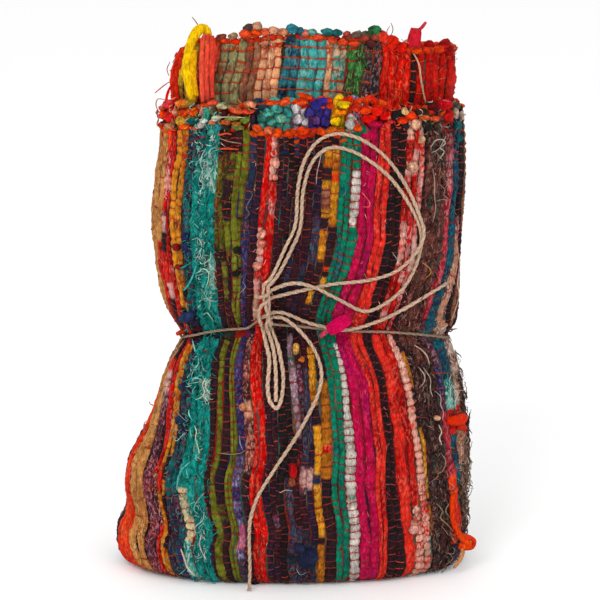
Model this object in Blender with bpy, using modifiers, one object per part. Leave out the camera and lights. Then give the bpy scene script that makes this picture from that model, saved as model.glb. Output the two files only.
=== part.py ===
"""Rag rug, folded along its length, rolled up and tied round the middle with twine.

The rug stands on its folded edge. Its two long selvedges are at the top: the outer
turn's pair sits lower, and the inner turns are pushed up past it. All sizes are in
metres, +Z is up, the front of the roll faces -Y, and the origin is at the middle of
the base.
"""
import math

import bmesh
import bpy
from mathutils import Vector

# ---------------------------------------------------------------- driving sizes
TURNS = 3.0                # turns of the folded rug, from the loose outer end inwards
START_ANGLE = 130.0        # where the outer end lies, in degrees from +X: back left
STATIONS = 60              # sections in one turn
SQUARENESS = 2.25          # 2 is an ellipse, more is squarer
PITCH_SIDE = 0.0105        # one turn to the next, at the sides
PITCH_FRONT = 0.0200       # one turn to the next, at the front and back
LAYER = 0.0048             # one layer of rug
BAND = 0.0100              # two layers, as folded
GROOVE_FLOOR = 0.372       # down to here the turns are open at the top
WAIST_HEIGHT = 0.222       # the twine pulls the roll in here
WAIST_RISE = 0.021         # the tie sits this much higher at the front, at its knot
WAIST_REACH = 0.070        # how far above and below the waist that rise fades
REF_HALF_WIDTH = 0.142     # where PITCH_SIDE holds
REF_HALF_DEPTH = 0.077     # where PITCH_FRONT holds
MIDDLE = (-0.00025, 0.00225)   # puts the box round the roll in the middle

TWINE_RADIUS = 0.0016
TWINE_STEP = 0.0088        # between points along the twine
GAP = 0.0003

# The outer turn's surface at each height, in mm from the origin, where it faces
# each way.
OUTLINE_COLUMNS = ("height", "left", "right", "front", "back")
OUTLINE = (
    (0, 148, 150, 66, 60),
    (4, 157, 158, 72, 66),
    (12, 165, 163.5, 77, 72),
    (28, 168, 166, 80, 76),
    (50, 164, 167, 81.5, 78),
    (76, 161, 168, 83, 80),
    (100, 156.7, 168.4, 84, 80),
    (125, 144, 168, 83, 79),
    (154, 131, 163.5, 79, 76),
    (180, 123, 160, 73, 71),
    (200, 115.5, 154, 66, 65),
    (212, 108.5, 147.5, 60, 60),
    (222, 103, 142.7, 55, 56),
    (232, 108, 148.5, 59.5, 59.5),
    (243, 114.5, 154, 65, 65),
    (262, 122, 156, 71, 70),
    (296, 127, 156.5, 76, 74),
    (336, 131, 158, 79, 76),
    (372, 127, 159.5, 79, 76),
    (414, 121.5, 158, 78, 75),
    (442, 121, 156, 77, 74),
    (462, 122, 159, 78, 74),
    (486, 115, 159, 78, 74),
    (510, 110, 155, 77, 73),
    (540, 106, 151, 76, 72),
)

# Heights of the two selvedges along the roll, in mm. turn counts from the outer end.
EDGE_COLUMNS = ("turn", "outer_layer", "inner_layer")
EDGES = (
    (0.00, 432, 446),
    (0.10, 424, 442),
    (0.17, 428, 444),
    (0.225, 446, 451),
    (0.26, 442, 449),
    (0.30, 441, 450),
    (0.335, 431, 457),
    (0.40, 430, 461),
    (0.445, 437, 459),
    (0.475, 442, 450),
    (0.53, 448, 450),
    (0.58, 438, 446),
    (0.615, 447, 450),
    (0.65, 436, 446),
    (0.75, 441, 448),
    (0.88, 458, 464),
    (1.00, 474, 482),
    (1.10, 482, 490),
    (1.18, 496, 499),
    (1.23, 508, 502),
    (1.30, 504, 508),
    (1.35, 513, 509),
    (1.42, 510, 515),
    (1.50, 507, 512),
    (1.57, 508, 502),
    (1.62, 500, 503),
    (1.75, 494, 497),
    (2.00, 486, 490),
    (2.40, 490, 494),
    (2.75, 484, 489),
    (3.00, 482, 486),
)

# Soft creases where the twine gathers the cloth. side is +1 for a trough and -1 for
# a ridge between two troughs.
CREASE_COLUMNS = ("turn", "depth", "half_width", "reach", "side")
CREASES = (
    (0.155, 3.0, 9, 30, 1),
    (0.215, 2.4, 8, 26, -1),
    (0.262, 3.6, 9, 30, 1),
    (0.315, 2.2, 9, 26, -1),
    (0.372, 3.0, 9, 28, 1),
    (0.430, 2.2, 9, 24, -1),
    (0.500, 2.6, 9, 28, 1),
    (0.565, 3.6, 8, 34, 1),
    (0.612, 2.2, 8, 26, -1),
    (0.720, 3.0, 9, 30, 1),
    (0.800, 2.4, 10, 28, -1),
    (0.880, 3.2, 9, 30, 1),
    (0.950, 2.0, 9, 26, -1),
)


def column(names, rows, name):
    k = names.index(name)
    return [row[k] for row in rows]


def smooth_read(xs, ys, x):
    """A smooth curve through the rows of a table, read at x."""
    if x <= xs[0]:
        return ys[0]
    if x >= xs[-1]:
        return ys[-1]
    i = 0
    while x > xs[i + 1]:
        i += 1
    h = xs[i + 1] - xs[i]
    u = (x - xs[i]) / h

    def slope(k):
        if k == 0:
            return (ys[1] - ys[0]) / (xs[1] - xs[0])
        if k == len(xs) - 1:
            return (ys[-1] - ys[-2]) / (xs[-1] - xs[-2])
        before = (ys[k] - ys[k - 1]) / (xs[k] - xs[k - 1])
        after = (ys[k + 1] - ys[k]) / (xs[k + 1] - xs[k])
        if before * after <= 0:
            return 0.0
        return 2 * before * after / (before + after)

    m0, m1 = slope(i) * h, slope(i + 1) * h
    return (
        ys[i] * (2 * u**3 - 3 * u**2 + 1)
        + m0 * (u**3 - 2 * u**2 + u)
        + ys[i + 1] * (3 * u**2 - 2 * u**3)
        + m1 * (u**3 - u**2)
    )


HEIGHTS = column(OUTLINE_COLUMNS, OUTLINE, "height")
SIDES = {name: column(OUTLINE_COLUMNS, OUTLINE, name) for name in OUTLINE_COLUMNS[1:]}
EDGE_TURNS = column(EDGE_COLUMNS, EDGES, "turn")
EDGE_HEIGHTS = {name: column(EDGE_COLUMNS, EDGES, name) for name in EDGE_COLUMNS[1:]}


def faces_at(degrees):
    """The turn, in the outer one, at which the winding faces this way."""
    return (degrees - START_ANGLE) % 360 / 360


START_PITCH = {
    "left": PITCH_SIDE * faces_at(180),
    "right": PITCH_SIDE * faces_at(0),
    "front": PITCH_FRONT * faces_at(270),
    "back": PITCH_FRONT * faces_at(90),
}


def outline(height):
    """Half width, half depth and centre of the spiral at its very start."""
    reach = {}
    for name in SIDES:
        at_table = smooth_read(HEIGHTS, SIDES[name], height * 1000) / 1000
        full = REF_HALF_WIDTH if name in ("left", "right") else REF_HALF_DEPTH
        reach[name] = at_table * (1 + START_PITCH[name] / full)
    half_width = (reach["left"] + reach["right"]) / 2
    half_depth = (reach["front"] + reach["back"]) / 2
    centre = (
        (reach["right"] - reach["left"]) / 2,
        (reach["back"] - reach["front"]) / 2,
    )
    return half_width, half_depth, centre


def power(value, exponent):
    return math.copysign(abs(value) ** exponent, value)


def creased(turn, height):
    """How far the creases at the waist push the surface in at this place."""
    total = 0.0
    for at, depth, half_width, reach, side in CREASES:
        along = (turn % 1.0 - at) * 720.0 / half_width
        up = (height - WAIST_HEIGHT) * 1000 / reach
        total += side * depth / 1000 * math.exp(-(along**2) - up**2)
    return total


def rise(turn, height):
    """How far the surface is dragged up with the tie at this place."""
    angle = math.radians(START_ANGLE) + 2 * math.pi * turn
    facing_front = max(0.0, -math.sin(angle)) ** 1.4
    away = (height - WAIST_HEIGHT) / WAIST_REACH
    return WAIST_RISE * facing_front * math.exp(-(away**2))


def wall(turn, height, inset):
    """A point of the roll: turn along the winding, inset from the outer face of it.

    height is the height before the tie drags the surface up.
    """
    half_width, half_depth, centre = outline(height)
    deeper = inset + creased(turn, height)
    a = half_width - PITCH_SIDE * turn * half_width / REF_HALF_WIDTH - deeper
    b = half_depth - PITCH_FRONT * turn * half_depth / REF_HALF_DEPTH - deeper
    angle = math.radians(START_ANGLE) + 2 * math.pi * turn
    return Vector(
        (
            MIDDLE[0] + centre[0] + a * power(math.cos(angle), 2 / SQUARENESS),
            MIDDLE[1] + centre[1] + b * power(math.sin(angle), 2 / SQUARENESS),
            height + rise(turn, height),
        )
    )


def front_place(x, z):
    """The turn and height whose point on the front of the outer turn has this x and z."""
    height = z
    for _ in range(7):
        low, high = faces_at(180), faces_at(0)
        for _ in range(22):
            turn = (low + high) / 2
            if wall(turn, height, 0.0).x < x:
                low = turn
            else:
                high = turn
        height = z - rise(turn, height)
    return turn, height


def front_of(x, z):
    """How far forward of the origin the outer turn's front is there."""
    turn, height = front_place(x, z)
    return -wall(turn, height, 0.0).y


def edge(turn, layer):
    return smooth_read(EDGE_TURNS, EDGE_HEIGHTS[layer], turn) / 1000


# ------------------------------------------------------------------ scene set-up
for old in list(bpy.data.objects):
    bpy.data.objects.remove(old, do_unlink=True)

rug_parts = bpy.data.collections.new("tied_rag_rug")
bpy.context.scene.collection.children.link(rug_parts)


def finish(name, colour, roughness):
    material = bpy.data.materials.new(name)
    material.use_nodes = True
    shader = material.node_tree.nodes["Principled BSDF"]
    shader.inputs["Base Color"].default_value = (*colour, 1.0)
    shader.inputs["Roughness"].default_value = roughness
    shader.inputs["Metallic"].default_value = 0.0
    return material


COTTON = finish("cotton_rag", (0.36, 0.06, 0.05), 0.92)
JUTE = finish("jute_twine", (0.55, 0.42, 0.28), 0.95)


# ------------------------------------------------------------------ the rolled rug
def build_roll():
    """One solid: a loft along the winding.

    The outer turn's wall goes down to the floor. Above the groove floor each turn
    is a band with an outer face, a stepped rim for its two selvedges and an inner
    face. Below it the turns are one body.
    """
    low_levels = [h / 1000 for h in HEIGHTS if h / 1000 < GROOVE_FLOOR - 0.001]
    last = int(round(TURNS * STATIONS))
    bm = bmesh.new()

    low, outer, inner = [], [], []
    for i in range(last + 1):
        turn = i / STATIONS
        top_a = edge(turn, "outer_layer")
        top_b = edge(turn, "inner_layer")
        if i <= STATIONS:
            low.append([bm.verts.new(wall(turn, h, 0.0)) for h in low_levels])
        outer.append(
            [
                bm.verts.new(wall(turn, GROOVE_FLOOR + (top_a - GROOVE_FLOOR) * f, 0.0))
                for f in (0.0, 0.5, 1.0)
            ]
            + [
                bm.verts.new(wall(turn, top_a, LAYER - 0.0003)),
                bm.verts.new(wall(turn, top_b, LAYER + 0.0006)),
            ]
        )
        inner.append(
            [
                bm.verts.new(wall(turn, GROOVE_FLOOR + (top_b - GROOVE_FLOOR) * f, BAND))
                for f in (0.0, 0.5, 1.0)
            ]
        )

    def strip(first, second):
        """Faces between two rows of points."""
        for k in range(len(first) - 1):
            bm.faces.new((first[k], second[k], second[k + 1], first[k + 1]))

    for i in range(last):
        section = outer[i] + inner[i][::-1]
        following = outer[i + 1] + inner[i + 1][::-1]
        strip(section, following)
        if i < STATIONS:
            strip(low[i] + [outer[i][0]], low[i + 1] + [outer[i + 1][0]])

    # The groove floor, from a turn's inner face to the next turn's outer face.
    for i in range(last - STATIONS):
        j = i + STATIONS
        bm.faces.new((inner[i][0], inner[i + 1][0], outer[j + 1][0], outer[j][0]))
    heart = [inner[i][0] for i in range(last - STATIONS, last + 1)] + [outer[last][0]]
    bm.faces.new(heart)

    # The outer end: the step from the loose end down to the turn under it.
    step_out = low[0]
    step_in = low[STATIONS]
    for k in range(len(step_out) - 1):
        bm.faces.new((step_out[k], step_out[k + 1], step_in[k + 1], step_in[k]))
    bm.faces.new(
        (step_out[-1], outer[0][0], inner[0][0], outer[STATIONS][0], step_in[-1])
    )

    def end_cap(o, n):
        """The cut end of the folded rug: two layers side by side."""
        return [
            (o[0], o[1], n[1], n[0]),
            (o[1], o[2], o[3], o[4], n[2], n[1]),
        ]

    for loop in end_cap(outer[0], inner[0]):
        bm.faces.new(loop)
    for loop in end_cap(outer[last], inner[last]):
        bm.faces.new(loop[::-1])

    bm.faces.new([row[0] for row in low])

    bmesh.ops.triangulate(
        bm, faces=[f for f in bm.faces if len(f.verts) > 4], ngon_method="EAR_CLIP"
    )
    bmesh.ops.recalc_face_normals(bm, faces=bm.faces)
    mesh = bpy.data.meshes.new("rug_roll")
    bm.to_mesh(mesh)
    bm.free()
    if sum(p.area * p.normal.z for p in mesh.polygons if p.center.z < 1e-6) > 0:
        mesh.flip_normals()
    mesh.shade_smooth()
    mesh.set_sharp_from_angle(angle=math.radians(40))
    roll = bpy.data.objects.new("rug_roll", mesh)
    roll.data.materials.append(COTTON)
    rug_parts.objects.link(roll)
    return roll


build_roll()


# ------------------------------------------------------------------------- the tie
# The knot is a rounded lump in front of the waist, from its low end to its top.
KNOT_TOP = Vector((-0.0250, -0.0773, 0.2840))
KNOT_FOOT = Vector((-0.0240, -0.0668, 0.2530))
KNOT_RADIUS = 0.0055
BAND_LIFT = 0.0026         # from the cloth to the middle of the twine round the waist
BAND_RISE = 0.0045         # how much higher it runs on the front, left of the knot

# Each length of twine lies over the front of the roll. across and height are where
# it lies, in mm from the origin, and lift is how far in front of the cloth its middle
# is. It bridges the waist instead of dipping into it.
ROUTE_COLUMNS = ("across", "height", "lift")
BOW_OUTER = (
    (-25.4, 290.4, 6.0),
    (-19.0, 297.0, 3.6),
    (-13.2, 308.5, 2.4),
    (-4.3, 329.1, 2.2),
    (1.1, 340.0, 2.2),
    (3.8, 350.1, 2.2),
    (5.3, 378.0, 2.2),
    (10.8, 403.3, 2.2),
    (22.3, 421.1, 2.2),
    (37.2, 428.1, 2.2),
    (56.6, 425.1, 2.2),
    (80.5, 409.2, 2.2),
    (101.3, 381.0, 2.6),
    (113.8, 353.8, 5.4),
    (119.0, 334.5, 6.6),
    (113.5, 320.0, 6.4),
    (96.4, 302.2, 3.6),
    (72.7, 294.1, 2.2),
    (38.7, 291.0, 2.2),
    (23.5, 288.2, 2.2),
    (7.3, 284.4, 2.2),
    (-6.1, 281.2, 3.4),
    (-18.4, 278.4, 6.0),
)
BOW_INNER = (
    (-21.5, 289.4, 6.2),
    (-15.0, 296.4, 3.6),
    (-8.8, 306.6, 2.4),
    (0.4, 325.5, 2.2),
    (5.9, 338.2, 2.2),
    (8.4, 351.0, 2.2),
    (10.2, 378.0, 2.2),
    (18.8, 404.2, 2.2),
    (32.9, 415.7, 2.2),
    (53.1, 412.7, 2.2),
    (84.2, 391.0, 2.2),
    (105.1, 362.4, 2.2),
    (116.4, 335.4, 2.2),
    (114.9, 313.4, 2.2),
    (104.5, 288.7, 2.2),
    (87.6, 271.8, 2.2),
    (66.8, 263.2, 2.2),
    (45.1, 274.2, 3.2),
    (32.3, 282.2, 5.6),
    (22.0, 288.0, 6.6),
    (6.0, 292.8, 6.4),
    (-6.0, 291.4, 6.2),
    (-18.7, 285.6, 6.0),
)
END_RIGHT = (
    (-17.8, 263.0, 5.4),
    (-8.0, 262.6, 5.0),
    (0.5, 258.8, 5.0),
    (8.8, 254.6, 5.4),
    (17.4, 250.9, 6.0),
    (27.5, 248.2, 6.4),
    (37.0, 245.8, 6.6),
    (48.7, 244.8, 6.6),
    (63.0, 247.3, 6.0),
    (79.9, 252.6, 4.0),
    (96.1, 260.0, 2.6),
    (112.3, 268.5, 2.2),
    (126.8, 276.1, 2.2),
    (141.7, 282.3, 2.2),
)
END_DOWN = (
    (-17.8, 258.4, 6.0),
    (-8.4, 257.2, 5.4),
    (-0.4, 252.0, 6.0),
    (8.4, 243.8, 7.0),
    (16.6, 233.8, 7.0),
    (22.9, 222.6, 7.0),
    (26.4, 211.4, 5.0),
    (26.6, 199.5, 3.0),
    (22.8, 185.6, 2.2),
    (7.3, 155.2, 2.2),
    (-14.6, 121.0, 2.2),
    (-30.2, 95.1, 2.2),
    (-34.8, 83.4, 2.2),
    (-38.5, 69.5, 2.6),
    (-39.6, 53.5, 3.4),
    (-39.4, 37.5, 4.2),
    (-39.0, 21.0, 6.0),
    (-39.6, 9.0, 10.0),
    (-39.9, 3.2, 14.0),
)
HANG_OUTER = (
    (-26.6, 247.0, 6.0),
    (-24.2, 235.0, 7.0),
    (-21.0, 222.0, 7.0),
    (-20.8, 211.0, 5.0),
    (-22.0, 200.0, 3.0),
    (-21.8, 189.4, 2.2),
    (-19.0, 178.8, 2.2),
    (-15.2, 174.6, 2.2),
    (-11.4, 178.4, 2.2),
    (-8.8, 189.2, 2.2),
    (-7.9, 203.0, 3.0),
    (-9.6, 216.2, 6.0),
    (-12.0, 228.0, 7.0),
    (-16.4, 240.0, 6.0),
    (-20.2, 248.4, 5.0),
)
HANG_INNER = (
    (-22.8, 246.8, 10.5),
    (-19.0, 236.0, 9.0),
    (-16.6, 226.0, 7.0),
    (-15.2, 214.0, 5.0),
    (-14.6, 202.0, 3.0),
    (-14.6, 190.0, 2.2),
    (-14.8, 181.0, 2.2),
)


def through(points, step):
    """Points a step apart on a smooth curve through these."""
    fine = [points[0]]
    last = len(points) - 1
    for i in range(last):
        p0 = points[max(i - 1, 0)]
        p1, p2 = points[i], points[i + 1]
        p3 = points[min(i + 2, last)]
        t0 = 0.0
        t1 = t0 + max((p1 - p0).length, 1e-6) ** 0.5
        t2 = t1 + max((p2 - p1).length, 1e-6) ** 0.5
        t3 = t2 + max((p3 - p2).length, 1e-6) ** 0.5
        for k in range(1, 13):
            t = t1 + (t2 - t1) * k / 12
            a1 = p1 if i == 0 else p0 * ((t1 - t) / (t1 - t0)) + p1 * ((t - t0) / (t1 - t0))
            a2 = p1 * ((t2 - t) / (t2 - t1)) + p2 * ((t - t1) / (t2 - t1))
            a3 = (
                p2
                if i == last - 1
                else p2 * ((t3 - t) / (t3 - t2)) + p3 * ((t - t2) / (t3 - t2))
            )
            b1 = a1 * ((t2 - t) / (t2 - t0)) + a2 * ((t - t0) / (t2 - t0))
            b2 = a2 * ((t3 - t) / (t3 - t1)) + a3 * ((t - t1) / (t3 - t1))
            fine.append(b1 * ((t2 - t) / (t2 - t1)) + b2 * ((t - t1) / (t2 - t1)))
    lengths = [0.0]
    for a, b in zip(fine, fine[1:]):
        lengths.append(lengths[-1] + (b - a).length)
    pieces = max(2, round(lengths[-1] / step))
    out, k = [], 0
    for n in range(pieces + 1):
        want = lengths[-1] * n / pieces
        while k < len(fine) - 2 and lengths[k + 1] < want:
            k += 1
        span = lengths[k + 1] - lengths[k]
        out.append(fine[k].lerp(fine[k + 1], min(1.0, (want - lengths[k]) / max(span, 1e-9))))
    return out


def route(table):
    """The twine's middle along a table: in front of the cloth, and straight over dips."""
    flat = through([Vector((a / 1000, lift / 1000, z / 1000)) for a, z, lift in table], 0.0022)
    forward = [front_of(p.x, max(p.z, 0.004)) + p.y for p in flat]
    bend = 0.000012
    for _ in range(500):
        for i in range(1, len(forward) - 1):
            straight = (forward[i - 1] + forward[i + 1]) / 2 - bend
            if straight > forward[i]:
                forward[i] = straight
    return through([Vector((p.x, -f, p.z)) for p, f in zip(flat, forward)], TWINE_STEP)


def outside(points):
    """The convex outline of points in plan, which a tight twine follows."""
    ordered = sorted(points, key=lambda p: (p.x, p.y))

    def half(row):
        kept = []
        for p in row:
            while len(kept) > 1:
                u, v = kept[-1] - kept[-2], p - kept[-1]
                if u.x * v.y - u.y * v.x > 0:
                    break
                kept.pop()
            kept.append(p)
        return kept[:-1]

    return half(ordered) + half(ordered[::-1])


def band_route():
    """The twine round the waist, from the knot's right side round to its left."""
    ring = []
    for k in range(240):
        turn = k / 240
        here = wall(turn, WAIST_HEIGHT, 0.0)
        ahead = wall(turn + 0.002, WAIST_HEIGHT, 0.0) - wall(turn - 0.002, WAIST_HEIGHT, 0.0)
        out = Vector((ahead.y, -ahead.x, 0.0)).normalized()
        if here.y < 0 and here.x < KNOT_FOOT.x:
            up = min(max((here.x + 0.105) / 0.035, 0.0), 1.0) * BAND_RISE
            here = wall(turn, WAIST_HEIGHT + up, -0.0004)
        ring.append(here + out * BAND_LIFT)
    hull = outside(ring)
    middle = (KNOT_TOP.x + KNOT_FOOT.x) / 2

    def sweep(p):
        """The angle from the knot, going right and round the back."""
        return (math.atan2(p.y, p.x) - math.atan2(KNOT_FOOT.y, middle)) % (2 * math.pi)

    hull.sort(key=sweep)
    hull = [p for p in hull if 0.30 < sweep(p) < 2 * math.pi - 0.30]
    right = KNOT_FOOT + Vector((0.0058, 0.0042, -0.0020))
    left = KNOT_FOOT + Vector((-0.0058, 0.0042, 0.0022))
    return through([right] + hull + [left], TWINE_STEP)


def twine(name, points):
    curve = bpy.data.curves.new(name, "CURVE")
    curve.dimensions = "3D"
    curve.bevel_depth = TWINE_RADIUS
    curve.bevel_resolution = 2
    curve.use_fill_caps = True
    spline = curve.splines.new("POLY")
    spline.points.add(len(points) - 1)
    for point, at in zip(spline.points, points):
        point.co = (*at, 1.0)
    piece = bpy.data.objects.new(name, curve)
    piece.data.materials.append(JUTE)
    rug_parts.objects.link(piece)
    return piece


def build_knot():
    """A soft lump from a coarse cage, wider towards its top."""
    axis = KNOT_TOP - KNOT_FOOT
    bm = bmesh.new()
    bmesh.ops.create_cube(bm, size=2.0)
    bmesh.ops.subdivide_edges(
        bm,
        edges=[e for e in bm.edges if abs(e.verts[0].co.z - e.verts[1].co.z) > 1],
        cuts=2,
        use_grid_fill=True,
    )
    half = axis.length / 2 + KNOT_RADIUS
    for v in bm.verts:
        v.co = Vector(
            (v.co.x * KNOT_RADIUS * 1.06, v.co.y * KNOT_RADIUS * 0.96, v.co.z * half * 1.06)
        )
    mesh = bpy.data.meshes.new("tie_knot")
    bm.to_mesh(mesh)
    bm.free()
    mesh.shade_smooth()
    knot = bpy.data.objects.new("tie_knot", mesh)
    knot.location = (KNOT_TOP + KNOT_FOOT) / 2
    knot.rotation_euler = axis.to_track_quat("Z", "Y").to_euler()
    soften = knot.modifiers.new("soften", "SUBSURF")
    soften.levels = soften.render_levels = 2
    knot.data.materials.append(JUTE)
    rug_parts.objects.link(knot)
    return knot


build_knot()
twine("tie_band", band_route())
twine("bow_outer", route(BOW_OUTER))
twine("bow_inner", route(BOW_INNER))
twine("end_right", route(END_RIGHT))
twine("end_down", route(END_DOWN))
twine("hang_outer", route(HANG_OUTER))
twine("hang_inner", route(HANG_INNER))
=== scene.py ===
"""Rag rug, folded along its length, rolled up, stood on its fold and tied with jute twine.

Every rag, warp, bead and strand is laid on the same winding that the solid follows.
"""
import math

import bpy
import numpy as np
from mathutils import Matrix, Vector


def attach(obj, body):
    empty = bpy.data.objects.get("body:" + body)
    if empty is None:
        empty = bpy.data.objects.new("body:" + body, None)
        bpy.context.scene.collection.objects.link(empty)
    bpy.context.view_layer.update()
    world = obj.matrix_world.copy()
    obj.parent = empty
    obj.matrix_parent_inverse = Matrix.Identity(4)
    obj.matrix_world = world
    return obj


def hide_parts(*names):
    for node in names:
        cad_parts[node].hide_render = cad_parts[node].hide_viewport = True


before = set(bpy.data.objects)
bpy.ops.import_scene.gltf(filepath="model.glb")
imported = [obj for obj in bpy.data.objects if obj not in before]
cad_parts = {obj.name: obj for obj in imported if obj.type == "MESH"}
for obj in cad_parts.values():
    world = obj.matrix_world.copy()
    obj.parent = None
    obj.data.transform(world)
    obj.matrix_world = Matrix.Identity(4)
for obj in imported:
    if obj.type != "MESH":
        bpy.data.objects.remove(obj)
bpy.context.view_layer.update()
scene = bpy.context.scene
scene.view_settings.view_transform = "Standard"
scene.view_settings.look = "None"

# ------------------------------------------------------------------------ camera
ELEVATION = math.radians(14.0)
DISTANCE = 2.10
AIM = np.array([0.0073, 0.00225, 0.2575])
FOCAL_PX = 2243.0
FORWARD = np.array([0.0, math.cos(ELEVATION), -math.sin(ELEVATION)])
EYE = AIM - DISTANCE * FORWARD
RIGHT = np.array([1.0, 0.0, 0.0])
UPWARD = np.cross(RIGHT, FORWARD)

camera_data = bpy.data.cameras.new("camera")
camera_data.sensor_width = 36.0
camera_data.lens = 36.0 * FOCAL_PX / 600.0
camera_data.clip_end = 60.0
camera = bpy.data.objects.new("camera", camera_data)
camera.location = EYE.tolist()
camera.rotation_euler = (math.pi / 2 - ELEVATION, 0.0, 0.0)
scene.collection.objects.link(camera)
scene.camera = camera

# ---------------------------------------------------------------- the winding
START_ANGLE = 130.0
SQUARENESS = 2.25
PITCH_SIDE = 0.0105
PITCH_FRONT = 0.0200
LAYER = 0.0048
WAIST_HEIGHT = 0.222
WAIST_RISE = 0.021
WAIST_REACH = 0.070
REF_HALF_WIDTH = 0.142
REF_HALF_DEPTH = 0.077
MIDDLE = (-0.00025, 0.00225)

OUTLINE_COLUMNS = ("height", "left", "right", "front", "back")
OUTLINE = np.array((
    (0, 148, 150, 66, 60),
    (4, 157, 158, 72, 66),
    (12, 165, 163.5, 77, 72),
    (28, 168.8, 166, 80, 76),
    (38, 167.4, 166.4, 80.8, 77),
    (50, 160.6, 167, 81.5, 78),
    (62, 158.8, 167.5, 82.2, 79),
    (78, 160.2, 168, 83, 80),
    (100, 156.7, 168.4, 84, 80),
    (125, 144, 168, 83, 79),
    (154, 131, 163.5, 79, 76),
    (180, 123, 160, 73, 71),
    (200, 115.5, 154, 66, 65),
    (212, 108.5, 147.5, 60, 60),
    (222, 103, 142.7, 55, 56),
    (232, 108, 148.5, 59.5, 59.5),
    (243, 114.5, 154, 65, 65),
    (262, 122, 156, 71, 70),
    (296, 127, 156.5, 76, 74),
    (336, 131, 158, 79, 76),
    (372, 127, 159.5, 79, 76),
    (414, 121.5, 158, 78, 75),
    (442, 121, 156, 77, 74),
    (462, 122, 159, 78, 74),
    (486, 115, 159, 78, 74),
    (510, 110, 155, 77, 73),
    (540, 106, 151, 76, 72),
))
EDGES = np.array((
    (0.00, 432, 446), (0.10, 424, 442), (0.17, 428, 444), (0.225, 446, 451),
    (0.26, 442, 449), (0.30, 441, 450), (0.335, 431, 457), (0.40, 430, 461),
    (0.445, 437, 459), (0.475, 442, 450), (0.53, 448, 450), (0.58, 438, 446),
    (0.615, 447, 450), (0.65, 436, 446), (0.75, 441, 448), (0.88, 458, 464),
    (1.00, 474, 482), (1.10, 482, 490), (1.18, 496, 499), (1.23, 508, 502),
    (1.30, 509, 509), (1.35, 514, 511), (1.42, 511, 512), (1.465, 507, 506),
    (1.485, 502, 501), (1.52, 498, 497), (1.555, 499, 498), (1.585, 503, 501),
    (1.61, 500, 498), (1.65, 496, 497), (1.75, 494, 497), (2.00, 486, 490),
    (2.40, 490, 494), (2.75, 484, 489), (3.00, 482, 486),
))
# turn, depth, half width, reach, side: +1 is a trough and -1 a ridge.
CREASES = (
    (0.155, 3.0, 9, 30, 1), (0.215, 2.4, 8, 26, -1), (0.262, 3.6, 9, 30, 1),
    (0.315, 2.2, 9, 26, -1), (0.372, 3.0, 9, 28, 1), (0.430, 2.2, 9, 24, -1),
    (0.500, 2.6, 9, 28, 1), (0.565, 3.6, 8, 34, 1), (0.612, 2.2, 8, 26, -1),
    (0.720, 3.0, 9, 30, 1), (0.800, 2.4, 10, 28, -1), (0.880, 3.2, 9, 30, 1),
    (0.950, 2.0, 9, 26, -1),
)


def smooth_read(xs, ys, x):
    """A smooth curve through the rows of a table, read at every x."""
    xs, ys = np.asarray(xs, float), np.asarray(ys, float)
    x = np.clip(np.asarray(x, float), xs[0], xs[-1])
    h = np.diff(xs)
    d = np.diff(ys) / h
    both = d[:-1] * d[1:]
    middle = np.where(both > 0, 2 * both / np.where(d[:-1] + d[1:] == 0, 1, d[:-1] + d[1:]), 0)
    m = np.concatenate([[d[0]], middle, [d[-1]]])
    i = np.clip(np.searchsorted(xs, x, side="left") - 1, 0, len(xs) - 2)
    u = (x - xs[i]) / h[i]
    return (
        ys[i] * (2 * u**3 - 3 * u**2 + 1)
        + m[i] * h[i] * (u**3 - 2 * u**2 + u)
        + ys[i + 1] * (3 * u**2 - 2 * u**3)
        + m[i + 1] * h[i] * (u**3 - u**2)
    )


def faces_at(degrees):
    return (degrees - START_ANGLE) % 360 / 360


FACING = {"left": 180, "right": 0, "front": 270, "back": 90}
FINE_H = np.linspace(0.0, 0.540, 1081)
FINE_REACH = {}
for _k, _name in enumerate(OUTLINE_COLUMNS[1:], 1):
    _side = _name in ("left", "right")
    _pitch = (PITCH_SIDE if _side else PITCH_FRONT) * faces_at(FACING[_name])
    _full = REF_HALF_WIDTH if _side else REF_HALF_DEPTH
    FINE_REACH[_name] = (
        smooth_read(OUTLINE[:, 0], OUTLINE[:, _k], FINE_H * 1000) / 1000 * (1 + _pitch / _full)
    )


def creased(turn, height):
    total = np.zeros(np.broadcast(turn, height).shape)
    for at, depth, half_width, reach, side in CREASES:
        along = (turn % 1.0 - at) * 720.0 / half_width
        up = (height - WAIST_HEIGHT) * 1000 / reach
        total = total + side * depth / 1000 * np.exp(-(along**2) - up**2)
    return total


def rise(turn, height):
    angle = math.radians(START_ANGLE) + 2 * math.pi * turn
    facing = np.maximum(0.0, -np.sin(angle)) ** 1.4
    return WAIST_RISE * facing * np.exp(-(((height - WAIST_HEIGHT) / WAIST_REACH) ** 2))


def wall(turn, height, inset):
    """Points of the roll: turn along the winding, inset from the outer face of it."""
    turn, height, inset = np.broadcast_arrays(
        np.asarray(turn, float), np.asarray(height, float), np.asarray(inset, float)
    )
    reach = {n: np.interp(height, FINE_H, FINE_REACH[n]) for n in FINE_REACH}
    half_width = (reach["left"] + reach["right"]) / 2
    half_depth = (reach["front"] + reach["back"]) / 2
    deeper = inset + creased(turn, height)
    a = half_width - PITCH_SIDE * turn * half_width / REF_HALF_WIDTH - deeper
    b = half_depth - PITCH_FRONT * turn * half_depth / REF_HALF_DEPTH - deeper
    angle = math.radians(START_ANGLE) + 2 * math.pi * turn
    c, s = np.cos(angle), np.sin(angle)
    e = 2 / SQUARENESS
    return np.stack(
        [
            MIDDLE[0] + (reach["right"] - reach["left"]) / 2 + a * np.sign(c) * np.abs(c) ** e,
            MIDDLE[1] + (reach["back"] - reach["front"]) / 2 + b * np.sign(s) * np.abs(s) ** e,
            height + rise(turn, height),
        ],
        -1,
    )


def edge(turn, layer):
    return smooth_read(EDGES[:, 0], EDGES[:, 1 + layer], turn) / 1000


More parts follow.
